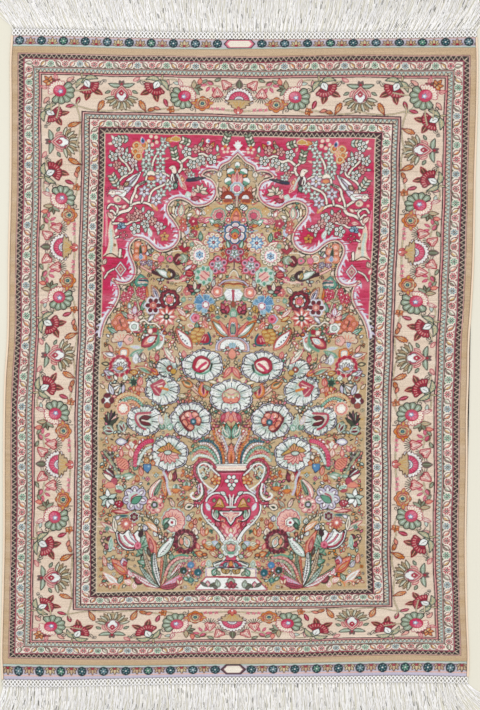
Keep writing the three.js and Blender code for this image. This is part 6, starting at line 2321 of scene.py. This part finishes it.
def yarn_paths(out, lie):
    """Walks of the free yarns. Each bunch leans its own way a little, and each yarn in it too."""
    lie = np.array(lie)
    bunch = np.repeat(np.arange(BUNCHES), BUNCH_YARNS)
    share = (bunch + 0.5) / BUNCHES
    total = len(bunch)
    start = end_line(share, out)
    bunch_lean = np.random.default_rng(5).normal(0, BUNCH_LEAN, BUNCHES)[bunch]
    own_lean = random.normal(0, YARN_LEAN, total)
    length = YARN_LENGTH * (0.985 + 0.035 * random.uniform(-1, 1, total))
    part = (np.arange(YARN_STEPS) + 0.5) / YARN_STEPS
    root, tip = through(lie, 1, share), through(lie, 2, share)
    phase, strength = random.uniform(0, 1, (total, 1)), random.uniform(0.3, 1, (total, 1))
    wave = YARN_WAVE * np.sin(2 * np.pi * (part * 1.6 + phase)) * strength
    own = own_lean[:, None] * np.sin(np.pi * part * 1.3)
    lean = root[:, None] + (tip - root + bunch_lean)[:, None] * part + own + wave
    step = (length / YARN_STEPS)[:, None]
    across = np.cumsum(step * np.sin(np.radians(lean)), axis=1)
    onward = np.cumsum(step * np.cos(np.radians(lean)), axis=1)
    spread = random.uniform(-BUNCH_HALF, BUNCH_HALF, total)
    root_step = np.zeros((total, 1))
    x = start[:, :1] + spread[:, None] + np.concatenate([root_step, across], axis=1)
    root_y = start[:, 1:2] + out * (SEAM_GAP + NET_DEPTH - YARN_TUCK)
    y = root_y + out * np.concatenate([root_step, onward], axis=1)
    layer = YARN + random.uniform(0, LAYER_RISE, (total, 1))
    k = np.linspace(0, 1, YARN_STEPS + 1)
    z = ROOT_RISE * (1 - k) ** 3 + layer * (1 - (1 - k) ** 3) * (1 - 0.25 * k)
    return np.stack([x, y, np.maximum(z, YARN)], -1)


SHADE_SCATTER = 0.03
WARMTH_SCATTER = 0.02
DIP_SHADOW_CHANCE = 0.045
DIP_SHADOW_TONES = (0.1, 0.45)
NET_UNDERSIDE_SHADE = [0.35, 1, 0.75, 0.15, 0.03, 0.05]
YARN_UNDERSIDE_SHADE = [1, 1, 0.45]


def fringe(name, out, lie):
    """The net and the free yarns of one end as one mesh. Each yarn has its own shade of undyed silk.
    Shade is painted on the lower side of every yarn, deepest under the net, and painted shadow falls
    where a yarn would dip under its neighbours: one step in twenty or so, each with four corners on
    three walls."""
    net, net_radius = net_paths(out)
    free = yarn_paths(out, lie)
    thinning = 1 - 0.45 * np.linspace(0, 1, YARN_STEPS + 1) ** 4
    free_radius = YARN * thinning * random.uniform(0.8, 1.15, (len(free), 1))
    parts = [tubes(round_rings(net, net_radius, NET_SIDES) * MM),
             tubes(round_rings(free, free_radius, YARN_SIDES) * MM)]
    points = np.concatenate([part[0] for part in parts])
    faces = np.concatenate([parts[0][1], parts[1][1] + len(parts[0][0])])
    sizes = np.concatenate([part[2] for part in parts])
    shades = random.normal(0, SHADE_SCATTER, NET_YARNS + len(free))
    warmth = np.clip(random.normal(0, WARMTH_SCATTER, NET_YARNS + len(free)), -0.02, 0.1)
    net_points, free_points = (NET_STEPS + 1) * NET_SIDES, (YARN_STEPS + 1) * YARN_SIDES
    of_point = np.concatenate([np.repeat(np.arange(NET_YARNS), net_points),
                               NET_YARNS + np.repeat(np.arange(len(free)), free_points)])
    silk = linear("FCFAF9") * (1 + shades)[:, None] * (1 - warmth[:, None] * [0.3, 0.6, 2.2])
    # painted shade: the lower corners of every ring are darkened, most under the net, so that its lozenges
    # show dark
    underside_shade = np.concatenate([np.tile(NET_UNDERSIDE_SHADE, NET_YARNS * (NET_STEPS + 1)),
                             np.tile(YARN_UNDERSIDE_SHADE, len(free) * (YARN_STEPS + 1))])
    colours = (np.clip(silk, 0, 1)[of_point] * underside_shade[:, None])[faces]
    steps = len(free) * YARN_STEPS
    # painted shadow: a few steps of the free yarns are darkened, where a yarn would pass under its
    # neighbours
    dip_shadows = np.where(random.random(steps) < DIP_SHADOW_CHANCE, random.uniform(*DIP_SHADOW_TONES, steps), 1)
    first = len(parts[0][1])
    step_corners = 4 * YARN_SIDES
    colours[first:first + step_corners * steps] *= np.repeat(dip_shadows, step_corners)[:, None]
    points[:, 2] = np.maximum(points[:, 2], 0)
    piece = mesh_of(name, points, faces, sizes)
    colour_corners(piece, colours)
    return piece


fringes = [fringe("warp_fringe_high", 1, LIE_HIGH), fringe("warp_fringe_low", -1, LIE_LOW)]
print("fringes:", [len(piece.data.polygons) for piece in fringes], "faces")

# %% [markdown]
# ## Silk
#
# Silk is smooth filament, so each tuft takes the light at a different angle and the pile shimmers
# row by row; that shimmer is painted into the colour here. Dye lots differ too, which leaves long,
# thin streaks along the wefts, and these streaks also carry painted sheen. The material reads the
# dye from the knots, makes it a little lighter or darker for each tuft and each streak, paints shade
# where tufts meet and a little over the whole pile, and raises a small mound for each tuft. Its
# scale is that of the knots, about a millimetre.

# %% A node helper


def add(tree, kind, inputs=(), **settings):
    """Adds a node: settings are its own properties, and inputs gives sockets a value or a link."""
    made = tree.nodes.new(kind)
    for name, value in settings.items():
        setattr(made, name, value)
    for socket, value in dict(inputs).items():
        if isinstance(value, bpy.types.NodeSocket):
            tree.links.new(value, made.inputs[socket])
        else:
            made.inputs[socket].default_value = value
    return made


def new_material(name):
    """An empty material and its tree of nodes."""
    material = bpy.data.materials.new(name)
    material.use_nodes = True
    material.node_tree.nodes.clear()
    return material, material.node_tree


def multiply_add(tree, value, gain, offset):
    """A value times a gain, plus an offset."""
    return add(tree, "ShaderNodeMath", {0: value, 1: gain, 2: offset},
               operation="MULTIPLY_ADD").outputs[0]


def noise(tree, place, scale, detail, **settings):
    """Soft noise with that many patches to a unit of length."""
    return add(tree, "ShaderNodeTexNoise", {"Vector": place, "Scale": scale, "Detail": detail},
               **settings).outputs[0]


def give(pieces, material):
    """Puts one material on several pieces."""
    for piece in pieces:
        piece.data.materials.append(material)


# %% Knotted silk pile
KNOT = 1.05
KNOT_SCATTER = 0.55
STREAK_SIZE = (70.0, 1.7)
STREAK_AND_SHEEN_TONE = 0.36
LOT_SIZE = (260.0, 16.0)
LOT_AND_SHEEN_TONE = 0.22
LOT_AND_SHEEN_RICHNESS = 0.40
GAP_SHADE = 0.55
GLOSS_CHANGE = 0.22
# painted shade: the whole pile is darkened evenly, offsetting the strong room light
EVEN_PAINTED_SHADE = 0.04
MOUND_HEIGHT = 0.3


def stretched_noise(tree, place, size, detail):
    """Noise whose patches are as long and as tall as size says, in millimetres."""
    stretched = add(tree, "ShaderNodeMapping", {"Vector": place, "Scale": (1 / size[0], 1 / size[1], 1)})
    return noise(tree, stretched.outputs[0], 1.0, detail, noise_dimensions="2D")


def silk_of_knots(name, mound, tuft_shimmer, roughness, sheen):
    """Dyed silk in knots: Voronoi cells a knot wide for painted tuft shimmer, stretched noise for
    streaks and dye lots that also carry painted sheen. The tone is 1 less half of each change and
    an even painted shade, plus each change times its own noise, and is darkened by painted shade
    where tufts meet."""
    material, tree = new_material(name)
    knots = add(tree, "ShaderNodeUVMap", uv_map="Knots").outputs["UV"]
    dye = add(tree, "ShaderNodeVertexColor", layer_name="dye").outputs["Color"]
    tuft = add(tree, "ShaderNodeTexVoronoi",
               {"Vector": knots, "Scale": 1 / KNOT, "Randomness": KNOT_SCATTER},
               voronoi_dimensions="2D")
    # painted light: each tuft is made a little lighter or darker, for the shimmer of silk that takes the
    # light at its own angle
    tuft_shimmer_tone = add(tree, "ShaderNodeSeparateColor", {"Color": tuft.outputs["Color"]}).outputs["Red"]
    # partly dye lots and partly painted sheen: the streak and lot noise lighten, darken and pale the dye in
    # long bands along the wefts
    streak = stretched_noise(tree, knots, STREAK_SIZE, 3.0)
    lot_and_sheen = stretched_noise(tree, knots, LOT_SIZE, 2.0)
    mean = 1 - tuft_shimmer / 2 - STREAK_AND_SHEEN_TONE / 2 - LOT_AND_SHEEN_TONE / 2 - EVEN_PAINTED_SHADE
    tone = multiply_add(tree, tuft_shimmer_tone, tuft_shimmer, mean)
    tone = multiply_add(tree, streak, STREAK_AND_SHEEN_TONE, tone)
    tone = multiply_add(tree, lot_and_sheen, LOT_AND_SHEEN_TONE, tone)
    richness = multiply_add(tree, lot_and_sheen, -LOT_AND_SHEEN_RICHNESS, 1 + LOT_AND_SHEEN_RICHNESS / 2)
    # painted shade: the colour darkens towards the rim of each tuft's cell, where tufts meet
    painted_gap_shade = multiply_add(tree, tuft.outputs["Distance"], -GAP_SHADE, 1.0)
    tone = add(tree, "ShaderNodeMath", {0: tone, 1: painted_gap_shade}, operation="MULTIPLY").outputs[0]
    colour = add(tree, "ShaderNodeHueSaturation",
                 {"Color": dye, "Value": tone, "Saturation": richness}).outputs[0]
    height = multiply_add(tree, tuft.outputs["Distance"], -1.0, 1.0)
    relief = add(tree, "ShaderNodeBump",
                 {"Height": height, "Strength": mound, "Distance": MOUND_HEIGHT * MM})
    gloss = multiply_add(tree, streak, GLOSS_CHANGE, roughness - GLOSS_CHANGE / 2)
    shader = add(tree, "ShaderNodeBsdfPrincipled", {
        "Base Color": colour, "Roughness": gloss, "Normal": relief.outputs[0],
        "Sheen Weight": sheen, "Sheen Roughness": 0.45, "Specular IOR Level": 0.35})
    add(tree, "ShaderNodeOutputMaterial", {"Surface": shader.outputs[0]})
    return material


give(pile_pieces, silk_of_knots("knotted_silk_pile", 0.55, 0.16, 0.58, 0.15))
give([ground], silk_of_knots("knot_backs_of_silk", 0.9, 0.10, 0.62, 0.05))
give(woven_pieces, silk_of_knots("flatwoven_silk", 0.35, 0.08, 0.60, 0.05))

# %% Cord and warp silk
YARN_GAP_SHADE = 0.22
GRAIN_HEIGHT = 0.15
CLOUD_SIZE = 40.0
CLOUD_TONE = 0.14


def wound_silk(name, tint, fleck, sheen):
    """Undyed or pale silk in yarns: fine noise in real millimetres paints shade in small flecks, standing
    in for the gaps between them, and the same noise raises bumps.
    """
    material, tree = new_material(name)
    place = add(tree, "ShaderNodeTexCoord").outputs["Object"]
    if tint is None:
        base = add(tree, "ShaderNodeVertexColor", layer_name="dye").outputs["Color"]
    else:
        base = add(tree, "ShaderNodeRGB").outputs[0]
        base.default_value = (*linear(tint), 1)
    gap_shade_and_bump = noise(tree, place, 1 / (fleck * MM), 2.0)
    slow = noise(tree, place, 1 / (CLOUD_SIZE * MM), 1.0)
    # painted shade: fine flecks of noise darken the silk, for the shade in the gaps between yarns
    tone = multiply_add(tree, gap_shade_and_bump, YARN_GAP_SHADE, 1 - YARN_GAP_SHADE / 2 - CLOUD_TONE / 2)
    tone = multiply_add(tree, slow, CLOUD_TONE, tone)
    colour = add(tree, "ShaderNodeHueSaturation", {"Color": base, "Value": tone}).outputs[0]
    relief = add(tree, "ShaderNodeBump",
                 {"Height": gap_shade_and_bump, "Strength": 0.4, "Distance": GRAIN_HEIGHT * MM})
    shader = add(tree, "ShaderNodeBsdfPrincipled", {
        "Base Color": colour, "Roughness": 0.55, "Normal": relief.outputs[0],
        "Sheen Weight": sheen, "Specular IOR Level": 0.4})
    add(tree, "ShaderNodeOutputMaterial", {"Surface": shader.outputs[0]})
    return material


give(cords, wound_silk("overcast_silk_cord", "E3CDB6", 0.9, 0.1))
give(fringes, wound_silk("undyed_silk_warp", None, 0.8, 0.4))

# %% [markdown]
# ## What each piece is
#
# Every piece rides on the rug's one body and stands for the plain solid in its place. The ground
# weave is the sheet of cloth: it has the outline that was woven, and the pile, woven ends, cords
# and fringes go with it.

# %% Riding and standing in
for piece in [ground, *pile_pieces, *woven_pieces]:
    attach(piece, "root")
    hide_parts("carpet")
for piece, node in zip(cords, ("selvedge_left", "selvedge_right")):
    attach(piece, "root")
    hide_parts(node)
for piece, node in zip(fringes, ("fringe_top", "fringe_bottom")):
    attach(piece, "root")
    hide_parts(node)

# %% [markdown]
# ## Floor, light and camera
#
# The floor is plain and pale. Light comes from all round, with one large soft lamp high on the
# left and a weaker one on the right, so that fringe and cords have a little shade. The camera looks
# straight down from as far as a short telephoto lens needs to take in the photographed piece of
# floor. The standard view transform keeps the dyes as they were chosen.

# %% The floor
FLOOR_HALF = 2.5
FLOOR_DROP = 0.1


def pale_floor():
    """A flat square with a painted finish."""
    corners = np.array([[-1, -1, 0], [1, -1, 0], [1, 1, 0], [-1, 1, 0]]) * FLOOR_HALF
    corners[:, 2] = -FLOOR_DROP * MM
    floor = mesh_of("floor", corners, np.arange(4), np.array([4]))
    material, tree = new_material("matt_floor_paint")
    place = add(tree, "ShaderNodeTexCoord").outputs["Object"]
    cloud = noise(tree, place, 3.0, 3.0)
    mixed = add(tree, "ShaderNodeMix", {"Factor": cloud}, data_type="RGBA")
    mixed.inputs[6].default_value = (*linear("D6D2C3"), 1)
    mixed.inputs[7].default_value = (*linear("DBD9CD"), 1)
    shader = add(tree, "ShaderNodeBsdfPrincipled", {"Base Color": mixed.outputs[2], "Roughness": 0.8})
    add(tree, "ShaderNodeOutputMaterial", {"Surface": shader.outputs[0]})
    give([floor], material)
    return floor


pale_floor()

# %% Light
scene = bpy.context.scene
world = bpy.data.worlds.new("soft_room")
scene.world = world
world.use_nodes = True
world.node_tree.nodes["Background"].inputs["Color"].default_value = (1.0, 0.99, 0.972, 1)
world.node_tree.nodes["Background"].inputs["Strength"].default_value = 0.87

LAMPS = [  # name, place in metres, size in metres, watts
    ("key", (-0.9, 1.1, 2.6), 1.4, 25.0),
    ("fill", (1.3, -1.2, 2.2), 1.8, 12.0),
]
for name, place, size, watts in LAMPS:
    light = bpy.data.lights.new(name, "AREA")
    light.size = size
    light.energy = watts
    lamp = bpy.data.objects.new(name, light)
    scene.collection.objects.link(lamp)
    lamp.location = place
    lamp.rotation_euler = (-bpy.data.objects[name].location).to_track_quat("-Z", "Y").to_euler()
scene.view_settings.view_transform = "Standard"

# %% Camera
PHOTO_TALL = 710
LENS = 85.0
SENSOR = 36.0
MIDDLE_PIXEL = (240.0, 355.0)
TABLE_PIXEL = (239.5, 358.0)

camera_data = bpy.data.cameras.new("camera")
camera_data.lens = LENS
camera_data.sensor_width = SENSOR
camera_data.sensor_fit = "AUTO"
camera = bpy.data.objects.new("camera", camera_data)
scene.collection.objects.link(camera)
seen = PHOTO_TALL * SQUARE
camera.location = (
    ((MIDDLE_PIXEL[0] - TABLE_PIXEL[0]) * SQUARE + SHIFT_X) * MM,
    ((TABLE_PIXEL[1] - MIDDLE_PIXEL[1]) * SQUARE + SHIFT_Y) * MM,
    (seen * LENS / SENSOR + PILE_TOP) * MM,
)
scene.camera = camera
print("camera at", [round(x, 3) for x in camera.location])
